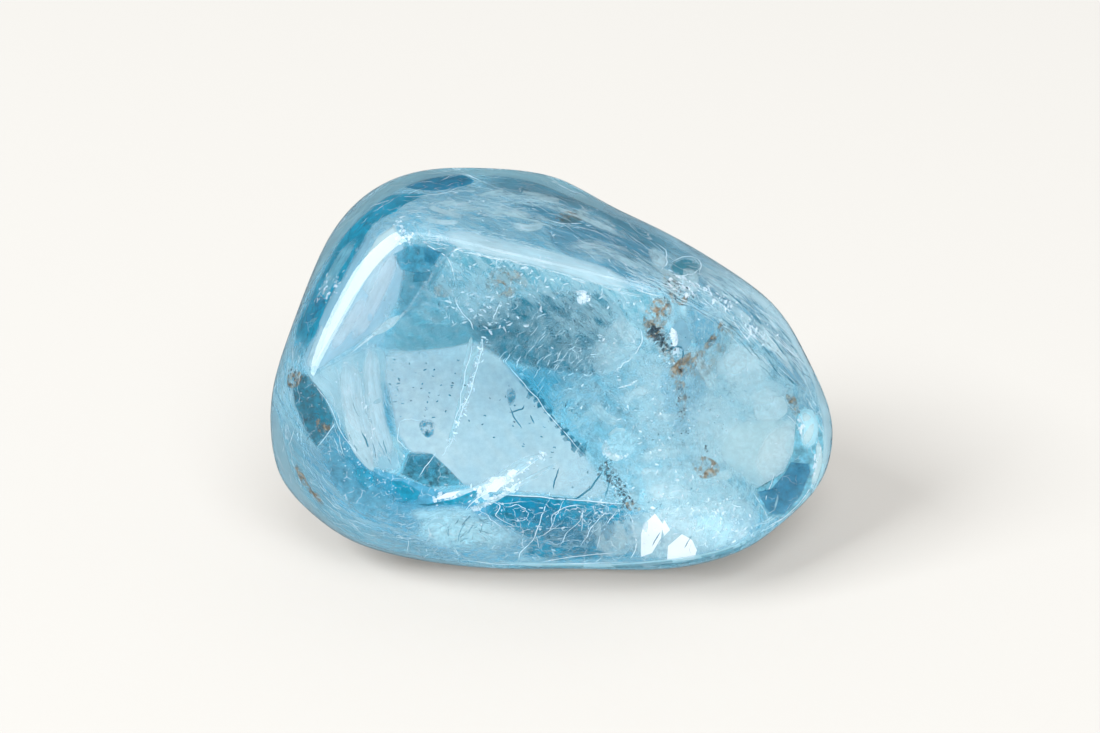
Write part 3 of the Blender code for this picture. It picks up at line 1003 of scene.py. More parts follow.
def build_veils_and_painted_highlights():
    """Feathered fractures, wavy veils and pale clouds near the surface, with films of painted highlight and
    sheen.
    """
    pile = Pile()
    # painted sheen: pale films to either side of the long highlight on the left
    leaf(pile, [(400, 236), (408, 256), (402, 292), (386, 322), (362, 342), (334, 360), (314, 372),
                (330, 336), (352, 300), (372, 264)], 0.6, toned(LAVENDER, 198, 226, 244), 0.9, 0.3,
         drawn=(-60, 4))
    leaf(pile, [(392, 238), (398, 256), (386, 292), (362, 322), (334, 348), (348, 312), (370, 274)], 0.5,
         toned(LAVENDER, 222, 238, 250, gaps=0.3), 0.8, 0.5, drawn=(-60, 4))
    band(pile, [(380, 226), (360, 252), (342, 284), (326, 318), (311, 352), (304, 370)], 12, 0.55,
         toned(LAVENDER, 176, 214, 234), 0.85, 0.3, 5)
    band(pile, [(358, 236), (342, 258), (330, 280), (318, 306), (308, 330)], 12, 0.42,
         toned(AZURE, 168, 220, 236, gaps=0.3), 0.85, 0.5, 5)
    band(pile, [(330, 318), (318, 345), (308, 372)], 12, 0.4, FROST, 0.9, 0.3, 4)
    leaf(pile, [(308, 376), (345, 354), (383, 344), (386, 388), (384, 417), (396, 450), (400, 472),
                (376, 470), (352, 450), (337, 417), (322, 394)], 1.2, toned(LAVENDER, 200, 226, 238), 0.85,
         0.3, drawn=(68, 2))
    leaf(pile, [(344, 418), (352, 416), (364, 432), (372, 452), (374, 472), (362, 464), (350, 446)], 0.8,
         FROST._replace(gaps=0.1), 0.95, 0.1, drawn=(60, 3))
    band(pile, [(348, 352), (352, 396), (362, 430), (376, 468)], 26, 0.8,
         toned(FROST, 230, 243, 252, wisps=0.4, gaps=0.45), 1.0, 0.5, 8, 0.2)
    band(pile, [(372, 340), (372, 385), (380, 430), (390, 462)], 20, 0.9,
         toned(FROST, 230, 243, 252, wisps=0.4, gaps=0.45), 0.95, 0.5, 8, 0.2)
    band(pile, [(484, 338), (470, 365), (456, 422), (448, 444)], 6, 2.2, FROST, 1.0, 0.1, 3, far=2.6)
    band(pile, [(472, 335), (468, 352), (460, 384)], 4, 2.0, FROST, 1.0, 0.1, 3)
    band(pile, [(432, 497), (468, 494), (492, 483), (516, 468), (545, 452)], 13, 1.0, FROST, 0.9, 0.15, 3,
         0.2)
    band(pile, [(462, 513), (490, 502), (520, 484), (560, 462)], 6, 1.0, FROST, 1.0, 0.1, 3)
    band(pile, [(444, 256), (419, 292), (402, 315), (375, 334), (345, 357)], 4, 1.2, FROST, 0.9, 0.2, 3)
    leaf(pile, [(370, 332), (384, 321), (400, 315), (394, 326), (378, 335)], 0.9, FROST._replace(gaps=0.1),
         1.0, 0.1)
    for row in (  # line, width, depth, film, cover, soft, longer, wave
        # painted highlight, with the overhead lamps' own: the soft streak along the ridge of the top face
        ([(430, 232), (490, 246), (570, 266), (645, 290)], 22, 0.35, FROST._replace(gaps=0.15), 0.85, 0.6,
         6),
        ([(424, 206), (470, 206), (520, 214), (560, 226)], 14, 0.45, FEATHER, 1.0, 0.3, 6),
        ([(426, 206), (445, 212), (466, 218)], 6, 0.4, FROST, 1.0, 0.3, 4),
        ([(422, 218), (440, 222), (462, 222)], 6, 0.4, FROST, 1.0, 0.3, 4),
        ([(509, 224), (530, 228), (545, 224)], 8, 0.4, FROST, 1.0, 0.3, 4),
        ([(466, 198), (520, 197), (580, 212), (640, 244)], 16, 0.45, FEATHER, 0.9, 0.4, 6),
        ([(560, 246), (610, 252), (650, 272), (700, 300)], 24, 0.5, FEATHER, 0.8, 0.3, 6),
        ([(690, 262), (740, 296), (790, 350), (815, 400)], 30, 0.5, FEATHER, 0.9, 0.3, 6),
        ([(724, 300), (764, 336), (794, 372)], 10, 0.5, FROST, 0.9, 0.3, 5),
    ):
        band(pile, *row)
    leaf(pile, [(590, 350), (618, 318), (640, 330), (640, 345), (632, 358), (616, 372), (596, 376)], 1.6,
         FROST._replace(gaps=0.5), 0.75, 0.6, drawn=(-40, 2))
    for row in (  # outline, depth, film, cover, soft, crisp
        ([(648, 248), (658, 247), (666, 257), (664, 268), (652, 262)], 0.5, FROST, 1.0, 0.5),
        ([(674, 272), (690, 268), (699, 276), (697, 292), (680, 290)], 0.5, FROST, 1.0, 0.5),
        ([(709, 284), (718, 283), (723, 300), (716, 304)], 0.5, FROST, 1.0, 0.5),
        ([(757, 332), (768, 334), (780, 350), (774, 352), (762, 345)], 0.5, FROST, 1.0, 0.5),
        ([(724, 356), (738, 350), (748, 362), (738, 374), (726, 370)], 0.7, FROST, 0.9, 0.3),
        ([(754, 406), (766, 396), (784, 398), (788, 412), (774, 422), (757, 420)], 0.7,
         FROST._replace(gaps=0.15), 0.85, 0.2),
    ):
        leaf(pile, *row)
    leaf(pile, [(792, 416), (800, 430), (796, 456), (782, 478), (766, 492), (740, 480), (716, 456),
                (724, 430), (750, 416)], 0.62, toned(LAVENDER, 226, 244, 250, gaps=0.2), 0.85, 1.0,
         wave=0.02)
    leaf(pile, [(794, 422), (798, 436), (792, 458), (776, 480), (762, 486), (754, 466), (762, 440),
                (778, 424)], 0.6, toned(LAVENDER, 236, 246, 252, gaps=0.3), 0.75, 1.0, wave=0.02)
    for row in (  # outline, depth, film, cover, soft, crisp
        ([(716, 360), (740, 345), (764, 356), (770, 376), (744, 386), (720, 378)], 0.8, FROST, 0.85, 0.4),
        ([(730, 380), (770, 378), (790, 392), (770, 404), (740, 404)], 0.9, FROST, 0.6, 0.5),
        ([(672, 326), (684, 318), (692, 340), (684, 352), (674, 346)], 0.8, LAVENDER, 0.7, 0.4),
        ([(690, 300), (724, 312), (720, 340), (700, 350), (688, 326)], 1.0, AZURE, 0.6, 0.4),
        ([(600, 536), (614, 520), (626, 530), (630, 552), (606, 556)], 0.8, FROST, 0.8, 0.3),
        ([(648, 508), (690, 514), (704, 536), (690, 560), (668, 560), (662, 530)], 0.9, FROST, 0.7, 0.4),
        ([(604, 446), (612, 432), (624, 428), (638, 436), (637, 450), (624, 460), (610, 458)], 1.2,
         LIT._replace(gaps=0.7), 0.9, 0.5),
    ):
        leaf(pile, *row)
    band(pile, [(606, 440), (606, 450), (613, 457), (624, 458)], 8, 1.0, WHITE._replace(gaps=0.5), 1.0, 0.4,
         4)
    band(pile, [(608, 436), (616, 430), (628, 430)], 4, 1.0, WHITE._replace(gaps=0.5), 0.9, 0.5, 4)
    # painted light: a pale lit patch low on the left, in a film and two bands
    leaf(pile, [(413, 530), (422, 512), (440, 507), (470, 510), (500, 520), (528, 540), (500, 549),
                (463, 550), (428, 546)], 0.9, LIT._replace(contrast=0.35, gaps=0.4, wisps=0.8), 0.9, 0.9)
    band(pile, [(420, 532), (456, 526), (500, 536)], 26, 0.8, LIT._replace(contrast=0.35, gaps=0.5), 0.75,
         0.9, 3)
    band(pile, [(404, 516), (440, 512), (480, 513)], 14, 0.8, LIT._replace(contrast=0.35, gaps=0.6), 0.7,
         0.9, 3)
    leaf(pile, [(620, 520), (690, 505), (750, 500), (756, 528), (720, 550), (640, 558)], 0.9, FROST, 0.7,
         0.2)
    leaf(pile, [(640, 470), (700, 470), (740, 490), (730, 510), (660, 512)], 1.1, FROST, 0.6, 0.3)
    leaf(pile, [(690, 520), (722, 515), (736, 528), (722, 548), (700, 548)], 0.7,
         LIT._replace(gaps=0.8, wisps=0.8), 0.7, 0.6, drawn=(-60, 3))
    leaf(pile, [(690, 400), (730, 400), (745, 440), (720, 465), (690, 440)], 1.0, FROST, 0.6, 0.4)
    leaf(pile, [(450, 290), (490, 286), (512, 306), (496, 326), (462, 322)], 1.6, FROST, 0.45, 0.5)
    leaf(pile, [(480, 345), (520, 320), (600, 300), (620, 330), (590, 380), (530, 375)], 1.7, FEATHER, 0.25,
         0.3, drawn=(-62, 2))
    leaf(pile, [(560, 380), (600, 384), (604, 410), (580, 440), (548, 400)], 1.7, FEATHER, 0.5, 0.3,
         drawn=(-40, 2))
    # painted sheen: pale bands just under the outline, where the edge of the stone mirrors the room, and
    # along the bottom edge a painted highlight with a teal line under it
    for row in (  # line, width, depth, film, cover, soft, longer, wave
        ([(283, 400), (283, 345), (303, 290), (340, 232), (392, 188), (452, 170), (530, 176), (600, 206),
          (690, 250)], 13, 0.3, toned(RIM, 172, 208, 220), 0.85, 0.3, 8),
        ([(530, 176), (600, 206), (690, 250), (760, 298), (806, 356)], 10, 0.28, toned(RIM, 196, 222, 236),
         0.4, 0.6, 8),
        ([(690, 250), (760, 298), (806, 356), (826, 410), (828, 460), (812, 500)], 13, 0.3,
         toned(RIM, 214, 236, 246), 0.85, 0.3, 8),
        ([(276, 392), (276, 430), (290, 480), (320, 520), (362, 548), (420, 562), (500, 567)], 14, 0.3,
         toned(RIM, 182, 210, 222), 0.8, 0.3, 8),
        ([(480, 562), (560, 565), (640, 564), (720, 552), (766, 530)], 5, 0.3, LIT, 0.8, 0.5, 8),
        ([(500, 566), (560, 568), (640, 566), (720, 554), (770, 528)], 6, 0.28, TEAL, 0.6, 0.6, 8),
    ):
        band(pile, *row)
    # painted highlight: a white film under the long highlight on the left that the strip card mirrors, with
    # pale films of painted sheen beside it
    leaf(pile, [(379, 234), (396, 223), (403, 238), (391, 248), (368, 276), (346, 307), (322, 352),
                (313, 367), (330, 322), (352, 279)], 0.34, WHITE, 0.9, 0.12, True, wave=0.02)
    band(pile, [(396, 250), (384, 280), (366, 316), (352, 340)], 16, 0.4,
         toned(LAVENDER, 226, 238, 250, gaps=0.2), 0.8, 0.6, 4)
    band(pile, [(366, 296), (350, 322), (330, 352)], 12, 0.4, toned(LAVENDER, 226, 238, 250, gaps=0.2), 0.7,
         0.6, 4)
    # painted highlights in the crescent at the right end
    for row in (  # line, width, depth, film, cover, soft, longer, wave
        ([(802, 408), (811, 426), (806, 450)], 18, 0.33, LIT._replace(gaps=0.2), 1.0, 0.7, 4),
        ([(803, 412), (810, 427), (804, 446)], 9, 0.32, WHITE, 0.9, 0.7, 4),
        ([(822, 424), (825, 450), (818, 484), (800, 512)], 4, 0.30, LIT, 0.9, 0.5, 8),
        ([(818, 440), (819, 462), (812, 488)], 7, 0.32, WHITE, 0.95, 0.5, 4),
        ([(784, 522), (800, 508), (812, 488)], 5, 0.33, LIT, 0.9, 0.5, 4),
        ([(774, 512), (779, 494), (788, 476)], 2.5, 0.33, LIT, 0.7, 0.5, 4),
    ):
        band(pile, *row)
    # clouds in the milky end
    for line, width, film in (
        ([(620, 404), (634, 394), (652, 388)], 12, FROST),
        ([(657, 414), (668, 418), (680, 414)], 10, FROST),
        ([(712, 436), (728, 432), (748, 440)], 22, FROST),
        ([(752, 404), (768, 398), (786, 410)], 26, FROST),
        ([(648, 494), (668, 490), (694, 502)], 20, FROST),
        ([(700, 516), (712, 520), (724, 528)], 20, LIT),
        ([(614, 318), (624, 330), (632, 344)], 18, FROST),
        ([(724, 350), (744, 356), (768, 370)], 24, FROST),
        ([(700, 308), (716, 314), (732, 324)], 12, FROST),
        ([(690, 350), (706, 372), (716, 392)], 14, FEATHER),
        ([(640, 460), (660, 452), (684, 456)], 14, FEATHER),
        ([(590, 400), (604, 416), (620, 424)], 12, FEATHER),
        ([(596, 520), (604, 536), (600, 552)], 20, FROST),
        ([(614, 520), (620, 538), (618, 552)], 14, FROST),
        ([(640, 474), (652, 470), (664, 478)], 8, FROST),
        ([(706, 470), (722, 476), (734, 470)], 12, FEATHER),
    ):
        band(pile, line, width, 0.9, film._replace(wisps=0.2, gaps=0.6), 0.85, 0.7, 2)
    for row in (  # outline, depth, film, cover
        ([(66, 20), (84, 34), (104, 30), (112, 12), (98, 2), (78, 4)], 0.6, FEATHER),
        ([(84, 4), (112, 6), (140, -8), (136, -22), (104, -14), (86, -8)], 0.7, FROST, 0.7),
        ([(44, 24), (56, 36), (64, 22), (58, -6), (46, -4)], 0.5, FEATHER),
        ([(10, 20), (24, 30), (36, 18), (30, -4), (14, 0)], 0.6, FROST._replace(gaps=0.3)),
        ([(14, -8), (34, -10), (44, -24), (26, -30)], 0.7, FEATHER, 0.7),
        ([(120, 34), (134, 38), (136, 14), (126, 8)], 0.5, LIT, 0.7),
    ):
        far_veil(pile, *row)
    add_pile("veils_and_painted_highlights", pile, film_material("veil_and_highlight_film"))


def build_crack_lines():
    """Bright hairlines, fibres and crackle, with a painted glint of their own."""
    pile = Pile()
    for row in (  # line, depth, thickness, wander, cover, seed
        ([(459, 248), (444, 257), (419, 292), (402, 315), (375, 334), (345, 357)], 1.2, 0.07, 0.8, 0.9, 32),
        ([(422, 242), (434, 249), (446, 256), (452, 268), (455, 280)], 0.7, 0.06, 0.5, 0.9, 33),
        ([(446, 256), (456, 250), (464, 247)], 0.7, 0.08, 0.5, 0.9, 23),
        ([(455, 296), (458, 308), (470, 322), (474, 330)], 1.2, 0.06, 0.8, 0.9, 31),
        ([(502, 301), (496, 312), (492, 320)], 1.2, 0.07, 0.8, 0.9, 22),
        ([(414, 271), (422, 268), (430, 271)], 0.6, 0.06, 0.4, 0.8, 21),
        ([(483, 338), (478, 362), (468, 398), (455, 431)], 2.0, 0.07, 1.6, 1, 34),
        ([(472, 340), (466, 372), (460, 402), (452, 431)], 2.1, 0.06, 1.6, 0.9, 35),
        ([(452, 438), (448, 448), (442, 456)], 2.1, 0.07, 1.2, 0.8, 20),
        ([(641, 326), (641, 342), (634, 355), (622, 366), (615, 372)], 1.0, 0.07, 1.6, 0.8, 36),
        ([(490, 494), (530, 496), (560, 499), (600, 502), (624, 504)], 0.7, 0.08, 0.5, 1, 37),
        ([(461, 560), (500, 564), (560, 564), (628, 562)], 0.4, 0.12, 0.4, 1, 38),
        ([(540, 562), (560, 559), (590, 555), (617, 553)], 0.4, 0.16, 0.4, 1, 19),
        ([(655, 243), (664, 248), (667, 257), (665, 266), (661, 270)], 0.4, 0.08, 1.0, 0.9, 39),
        ([(672, 262), (682, 257), (694, 257), (701, 264), (699, 274)], 0.4, 0.08, 0.5, 1, 18),
        ([(668, 272), (680, 276), (692, 274), (700, 268)], 0.4, 0.07, 0.5, 1, 17),
        ([(618, 389), (628, 385), (638, 380)], 1.5, 0.10, 0.8, 1, 40),
        ([(400, 422), (398, 434), (402, 445), (408, 449)], 2.0, 0.05, 1.2, 0.6, 41),
        ([(400, 421), (410, 419), (420, 421)], 2.0, 0.05, 1.2, 0.6, 42),
        ([(505, 361), (524, 384), (543, 407), (563, 431), (588, 458)], 1.3, 0.06, 1.0, 0.8, 43),
        ([(628, 511), (634, 530), (636, 547), (630, 558)], 0.8, 0.08, 1.2, 1, 44),
        ([(766, 528), (786, 516), (804, 498), (816, 478)], 0.4, 0.12, 0.4, 1, 45),
        ([(754, 494), (762, 506), (768, 519)], 0.5, 0.08, 0.6, 0.9, 46),
        ([(774, 474), (768, 492), (765, 505)], 0.42, 0.08, 0.5, 0.9, 16),
        ([(306, 374), (317, 388), (329, 405), (344, 437), (372, 470)], 0.6, 0.05, 0.5, 0.8, 47),
        ([(317, 447), (335, 424)], 0.6, 0.05, 0.5, 0.8, 48),
        ([(462, 512), (478, 498), (500, 486), (522, 470), (540, 457)], 0.8, 0.09, 0.8, 1, 49),
        ([(436, 453), (426, 466), (419, 476)], 1.2, 0.06, 0.4, 0.9, 15),
        ([(548, 221), (566, 224), (588, 224)], 0.5, 0.09, 0.5, 1, 50),
        ([(538, 176), (562, 186), (600, 205)], 0.4, 0.08, 0.5, 0.9, 29),
        ([(396, 197), (420, 196), (450, 192), (480, 190)], 0.4, 0.07, 0.5, 0.9, 28),
        ([(370, 207), (384, 202), (394, 199)], 0.35, 0.12, 0.4, 1, 27),
        ([(374, 212), (380, 208), (384, 204)], 0.35, 0.08, 0.4, 1, 26),
    ):
        thread(pile, *row)
    # the net of fractures in the blue zone along the bottom
    for row in (  # line, depth, thickness, wander, cover, seed
        ([(504, 511), (508, 506), (518, 505), (526, 510), (528, 516), (520, 521), (509, 520), (503, 514)],
         0.9, 0.06, 0.8, 0.9, 101),
        ([(549, 498), (543, 512), (537, 530), (532, 543)], 0.9, 0.07, 0.8, 1, 102),
        ([(564, 500), (557, 515), (551, 528), (544, 536)], 0.9, 0.06, 0.8, 1, 103),
        ([(544, 528), (556, 528), (572, 527)], 0.9, 0.08, 0.5, 0.9, 104),
        ([(551, 528), (553, 514), (570, 506), (584, 505)], 0.9, 0.07, 0.7, 0.9, 105),
        ([(606, 512), (596, 522), (588, 534), (580, 548)], 0.9, 0.07, 0.8, 1, 106),
        ([(618, 510), (608, 522), (602, 534), (596, 550)], 0.9, 0.08, 0.7, 0.9, 107),
        ([(562, 522), (548, 532), (534, 539), (522, 552), (516, 562)], 0.9, 0.06, 0.8, 1, 108),
        ([(490, 500), (500, 506), (496, 516), (510, 524), (524, 528)], 0.9, 0.07, 0.7, 0.9, 109),
        ([(474, 508), (486, 514), (494, 522), (506, 530)], 0.8, 0.06, 0.7, 0.8, 110),
        ([(586, 508), (578, 522), (566, 534), (560, 548)], 0.9, 0.06, 0.8, 0.8, 111),
        ([(540, 540), (556, 544), (572, 540), (590, 543)], 0.8, 0.06, 0.8, 0.8, 112),
    ):
        thread(pile, *row)
    crackle(pile, [(484, 504), (560, 501), (626, 507), (632, 552), (600, 558), (510, 552)], 12, 1.0, 0.045,
            0.8, 61, (0.2, 1.0), 0.7)
    crackle(pile, [(690, 505), (740, 500), (750, 530), (700, 552)], 9, 0.6, 0.045, 0.8, 116, kept=0.5)
    crackle(pile, [(410, 512), (470, 508), (512, 530), (450, 552)], 12, 0.75, 0.04, 0.6, 117, kept=0.4)
    crackle(pile, [(580, 506), (626, 507), (634, 552), (590, 556)], 8, 0.9, 0.05, 0.9, 67, (0.2, 1.0), 0.8)
    for row in (  # line, width, count, length, depth, thickness, cover, seed, turn, deep
        ([(283, 400), (283, 345), (303, 290), (340, 232), (392, 192), (452, 178)], 36, 170, 26, 0.45, 0.05,
         0.8, 51, 0.12),
        ([(400, 186), (470, 188), (540, 200), (600, 226), (660, 262), (730, 298), (800, 360)], 60, 420, 34,
         0.45, 0.055, 0.85, 52, 0.10),
        ([(436, 236), (520, 252), (650, 288)], 26, 140, 36, 0.7, 0.05, 0.8, 53, 0.05),
        ([(340, 350), (356, 400), (372, 465)], 60, 34, 24, 1.0, 0.05, 0.8, 54, 0.08),
        ([(420, 272), (480, 290), (560, 300)], 60, 40, 6, 1.2, 0.04, 0.6, 55, 1.0, 0.3),
        ([(640, 320), (700, 400), (740, 500)], 220, 170, 7, 1.2, 0.045, 0.7, 56, 0.7, 0.6),
        ([(400, 535), (480, 548), (600, 552), (720, 548)], 44, 160, 12, 0.8, 0.055, 0.8, 57, 0.8, 0.3),
        ([(800, 400), (822, 440), (806, 500), (770, 530)], 36, 90, 20, 0.42, 0.06, 0.9, 58, 0.2, 0.1),
        ([(285, 420), (305, 490), (350, 540), (420, 558)], 44, 150, 22, 0.5, 0.05, 0.75, 60, 0.2, 0.2),
        ([(560, 330), (540, 356), (524, 376)], 60, 50, 13, 1.5, 0.045, 0.75, 30, 0.3, 0.2),
        ([(612, 340), (560, 372)], 40, 60, 9, 1.6, 0.05, 0.8, 115, 0.6, 0.3),
    ):
        dashes(pile, *row)
    crackle(pile, [(440, 285), (500, 280), (530, 310), (500, 334), (445, 330)], 12, 1.9, 0.045, 0.7, 62,
            kept=0.45)
    crackle(pile, [(640, 500), (720, 490), (760, 530), (700, 562), (640, 560)], 16, 0.9, 0.06, 0.9, 63,
            kept=0.6)
    crackle(pile, [(540, 300), (600, 292), (640, 330), (610, 375), (560, 360)], 12, 2.0, 0.035, 0.5, 64,
            kept=0.3)
    far_cracks(pile, 110, 301)
    # the crack lines glow a little: a painted glint
    add_pile("crack_lines", pile, solid_film_material("crack_line", (0.84, 0.93, 0.96, 1), 0.2))


def build_shards_and_painted_glints():
    """Small bright facets of broken crystal, the plane facets low on the right, and painted highlights at
    the right end.
    """
    pile = Pile()
    for row in (  # line, spread, count, size, depth, deep, cover, seed, stretch, flat
        ([(436, 498), (470, 495), (499, 482), (545, 455)], 3, 130, 0.36, 1.0, 0.2, 0.9, 71, 1.3, 3.0),
        ([(484, 490), (500, 482), (512, 474)], 2.5, 22, 0.8, 0.9, 0.1, 1, 69, 1.3, 4.0),
        ([(474, 508), (496, 498), (520, 484)], 2, 50, 0.4, 0.9, 0.2, 0.9, 70),
        ([(451, 295), (480, 310), (505, 322)], 12, 90, 0.22, 1.6, 0.4, 0.8, 72, 3),
        ([(606, 442), (610, 456), (626, 458)], 2, 26, 0.25, 1.0, 0.1, 0.9, 73),
        ([(480, 520), (540, 530), (620, 520)], 14, 120, 0.25, 1.0, 0.3, 0.8, 74, 2.5),
        ([(318, 300), (330, 286), (338, 276)], 4, 60, 0.35, 0.38, 0.06, 1, 75, 2),
        ([(704, 285), (722, 300), (745, 318), (770, 340)], 6, 80, 0.35, 0.45, 0.1, 0.9, 76, 2),
        # painted highlights: sparkles in the crescent at the right end
        ([(802, 422), (804, 442)], 2.5, 40, 0.5, 0.42, 0.06, 1, 77),
        ([(817, 452), (813, 488)], 1.2, 50, 0.5, 0.38, 0.05, 1, 68),
        ([(640, 330), (680, 400), (700, 480)], 44, 340, 0.2, 1.0, 0.5, 0.8, 78, 2.2),
        ([(420, 200), (520, 210), (640, 260)], 14, 160, 0.2, 0.45, 0.08, 0.8, 79, 4.0),
        ([(420, 240), (500, 260), (600, 300)], 16, 200, 0.18, 1.0, 0.4, 0.7, 80, 3.0),
        ([(398, 224), (404, 236), (410, 240)], 4, 60, 0.3, 0.42, 0.06, 1, 81),
        ([(676, 280), (690, 288)], 6, 60, 0.4, 0.45, 0.1, 1, 82),
        ([(350, 350), (364, 400), (372, 450)], 16, 40, 0.16, 0.8, 0.2, 0.8, 83, 3.0),
        ([(660, 500), (720, 520), (740, 530)], 16, 130, 0.25, 0.7, 0.2, 0.9, 84, 2),
        ([(300, 390), (320, 420)], 12, 16, 0.12, 0.42, 0.06, 0.7, 85),
        ([(484, 338), (478, 362), (468, 398), (452, 440)], 2, 90, 0.16, 1.9, 0.1, 0.9, 88, 3),
        ([(340, 452), (370, 480), (400, 494)], 12, 70, 0.14, 0.7, 0.2, 0.8, 89, 2),
        ([(490, 515), (560, 525), (620, 530)], 16, 110, 0.14, 0.85, 0.2, 0.8, 90, 2),
        ([(580, 296), (588, 297)], 3, 20, 0.5, 1.0, 0.2, 1, 86),
        ([(673, 332), (674, 340), (678, 350)], 1.6, 40, 0.45, 0.7, 0.1, 1, 87),
    ):
        shards(pile, *row)
    for outline in (
        # painted highlight: the long one in the crescent at the right end
        [(814, 452), (818, 456), (815, 478), (811, 487), (811, 470)],
        [(641, 534), (644, 524), (655, 513.5), (663, 524), (661, 538), (652, 553), (641, 557)],
        [(664, 519), (670, 530), (664, 536), (662, 528)],
        [(667, 560), (668, 546), (682, 534), (692, 540), (697, 550), (694, 560)],
        [(434, 500), (446, 493), (460, 491), (452, 497)],
        [(486, 492), (494, 480), (502, 478), (504, 484), (496, 492)],
        [(507, 474), (513, 469), (518, 471), (512, 478)],
    ):
        leaf(pile, outline, 0.6, WHITE, 0.93, 0.0, True, wave=0.03)
    # the white shards glow a little: a painted glint
    white = solid_film_material("white_shard", (0.90, 0.96, 1.0, 1), 0.20)
    add_pile("white_shards_and_painted_glints", pile, white, smooth=False)


def build_rust():
    """Iron stains in the cracks."""
    pile = Pile()
    for row in (  # outline, depth, film, cover, soft, crisp
        ([(486, 276), (503, 267), (522, 272), (528, 286), (508, 300), (488, 294)], 1.0, MILK, 0.75, 0.5),
        ([(500, 274), (508, 272), (514, 280), (508, 286), (501, 283)], 0.9, MILK),
        ([(644, 312), (655, 298), (668, 298), (672, 312), (662, 330), (650, 342), (643, 330)], 0.8, MILK),
        ([(664, 272), (676, 276), (682, 294), (672, 298), (664, 288)], 0.5, MILK),
        ([(670, 296), (680, 298), (688, 296), (685, 305), (674, 304)], 0.45, MILK),
        ([(668, 376), (676, 362), (690, 352), (706, 351), (698, 364), (684, 378)], 0.8, MILK),
        ([(691, 460), (706, 456), (720, 466), (716, 476), (700, 478)], 0.9, MILK),
        ([(786, 394), (796, 398), (800, 414), (790, 414)], 0.45, MILK),
        ([(287, 376), (297, 371), (304, 374), (298, 386), (289, 388)], 0.4, MILK),
        ([(316, 420), (328, 418), (330, 431), (318, 432)], 0.45, MILK),
    ):
        leaf(pile, *row)
    band(pile, [(703, 351), (716, 335), (727, 317)], 8, 0.8, MILK)
    band(pile, [(294, 462), (306, 484), (325, 506)], 7, 0.4, MILK)
    leaf(pile, [(626, 502), (640, 503), (640, 511), (628, 510)], 0.7, MILK)
    band(pile, [(672, 300), (660, 326), (664, 350), (680, 385), (684, 430)], 12, 0.9, MILK, 0.8)
    leaf(pile, [(555, 214), (580, 210), (582, 220), (558, 222)], 0.42, MILK, 0.7)
    leaf(pile, [(432, 290), (440, 284), (452, 288), (448, 297), (436, 297)], 1.2, MILK, 0.5)
    leaf(pile, [(690, 370), (712, 352), (730, 320), (738, 330), (716, 366), (700, 384)], 0.9, MILK, 0.45)
    far_veil(pile, [(62, 22), (70, 30), (74, 10), (66, -8), (60, 4)], 0.45, MILK, 0.8)
    far_veil(pile, [(120, -8), (134, -12), (136, -20), (122, -18)], 0.5, MILK, 0.7)
    add_pile("rust_stains", pile, rust_material())


def build_dark_specks():
    """Black and grey grains at the end of the dark crack and along the stained seam."""
    pile = Pile()
    for row in (  # line, spread, count, size, depth, deep, cover, seed, stretch, flat
        ([(603, 463), (612, 476), (622, 490), (630, 502)], 4, 150, 0.28, 0.9, 0.15, 0.9, 221, 1.2),
        ([(649, 327), (656, 334), (661, 343)], 3, 80, 0.4, 0.7, 0.1, 1, 222, 1.2),
        ([(682, 385), (681, 410), (684, 436)], 3, 60, 0.22, 0.8, 0.15, 1, 223, 1.2),
        ([(666, 350), (672, 345)], 3, 20, 0.3, 0.7, 0.1, 1, 224, 1.2),
        ([(705, 440), (708, 452)], 1.2, 10, 0.22, 0.7, 0.1, 1, 225, 1.2),
        ([(666, 282), (676, 290), (688, 294)], 5, 60, 0.25, 0.42, 0.05, 0.9, 226, 1.2),
        ([(296, 380), (292, 372)], 4, 24, 0.3, 0.36, 0.05, 1, 227, 1.2),
        ([(600, 400), (680, 420), (740, 420)], 50, 60, 0.11, 0.9, 0.5, 0.8, 228, 1.2),
        ([(480, 340), (560, 340), (600, 330)], 20, 40, 0.13, 1.3, 0.5, 0.8, 229, 1.2),
    ):
        shards(pile, *row)
    add_pile("dark_specks", pile, solid_film_material("dark_speck", (0.05, 0.08, 0.10, 1)), smooth=False)


def build_open_fractures():
    """Open cracks whose faces shine where the light catches them."""
    pile = Pile()
    leaf(pile, [(540, 300), (600, 290), (640, 330), (620, 380), (570, 370), (540, 340)], 4.5, MILK,
         tilt=(2.0, 3.0), wave=0.8)
    leaf(pile, [(640, 510), (700, 505), (740, 530), (690, 560), (640, 556)], 1.6, MILK, tilt=(1.0, -2.0),
         wave=0.5)
    leaf(pile, [(400, 520), (470, 515), (520, 545), (450, 556)], 1.6, MILK, tilt=(1.0, -2.0), wave=0.5)
    add_pile("open_fractures", pile, mirror_material())


# ---- the studio ----


def aimed(place, target):
    """The rotation that turns something at a place to face a target."""
    return (Vector(target) - Vector(place)).to_track_quat("-Z", "Y").to_euler()


def softbox(name, place, target, size, radiance, reflected):
    """A lamp that is only mirrored, as a highlight, or one that only lights matt things."""
    lamp = bpy.data.lights.new(name, "AREA")
    lamp.shape = "RECTANGLE"
    lamp.size, lamp.size_y = size
    lamp.energy = LAMP_POWER * radiance * size[0] * size[1]
    light = bpy.data.objects.new(name, lamp)
    bpy.context.scene.collection.objects.link(light)
    light.location = place
    light.rotation_euler = aimed(place, target)
    light.visible_camera = False
    light.visible_transmission = False
    light.visible_diffuse = not reflected
    light.visible_glossy = reflected


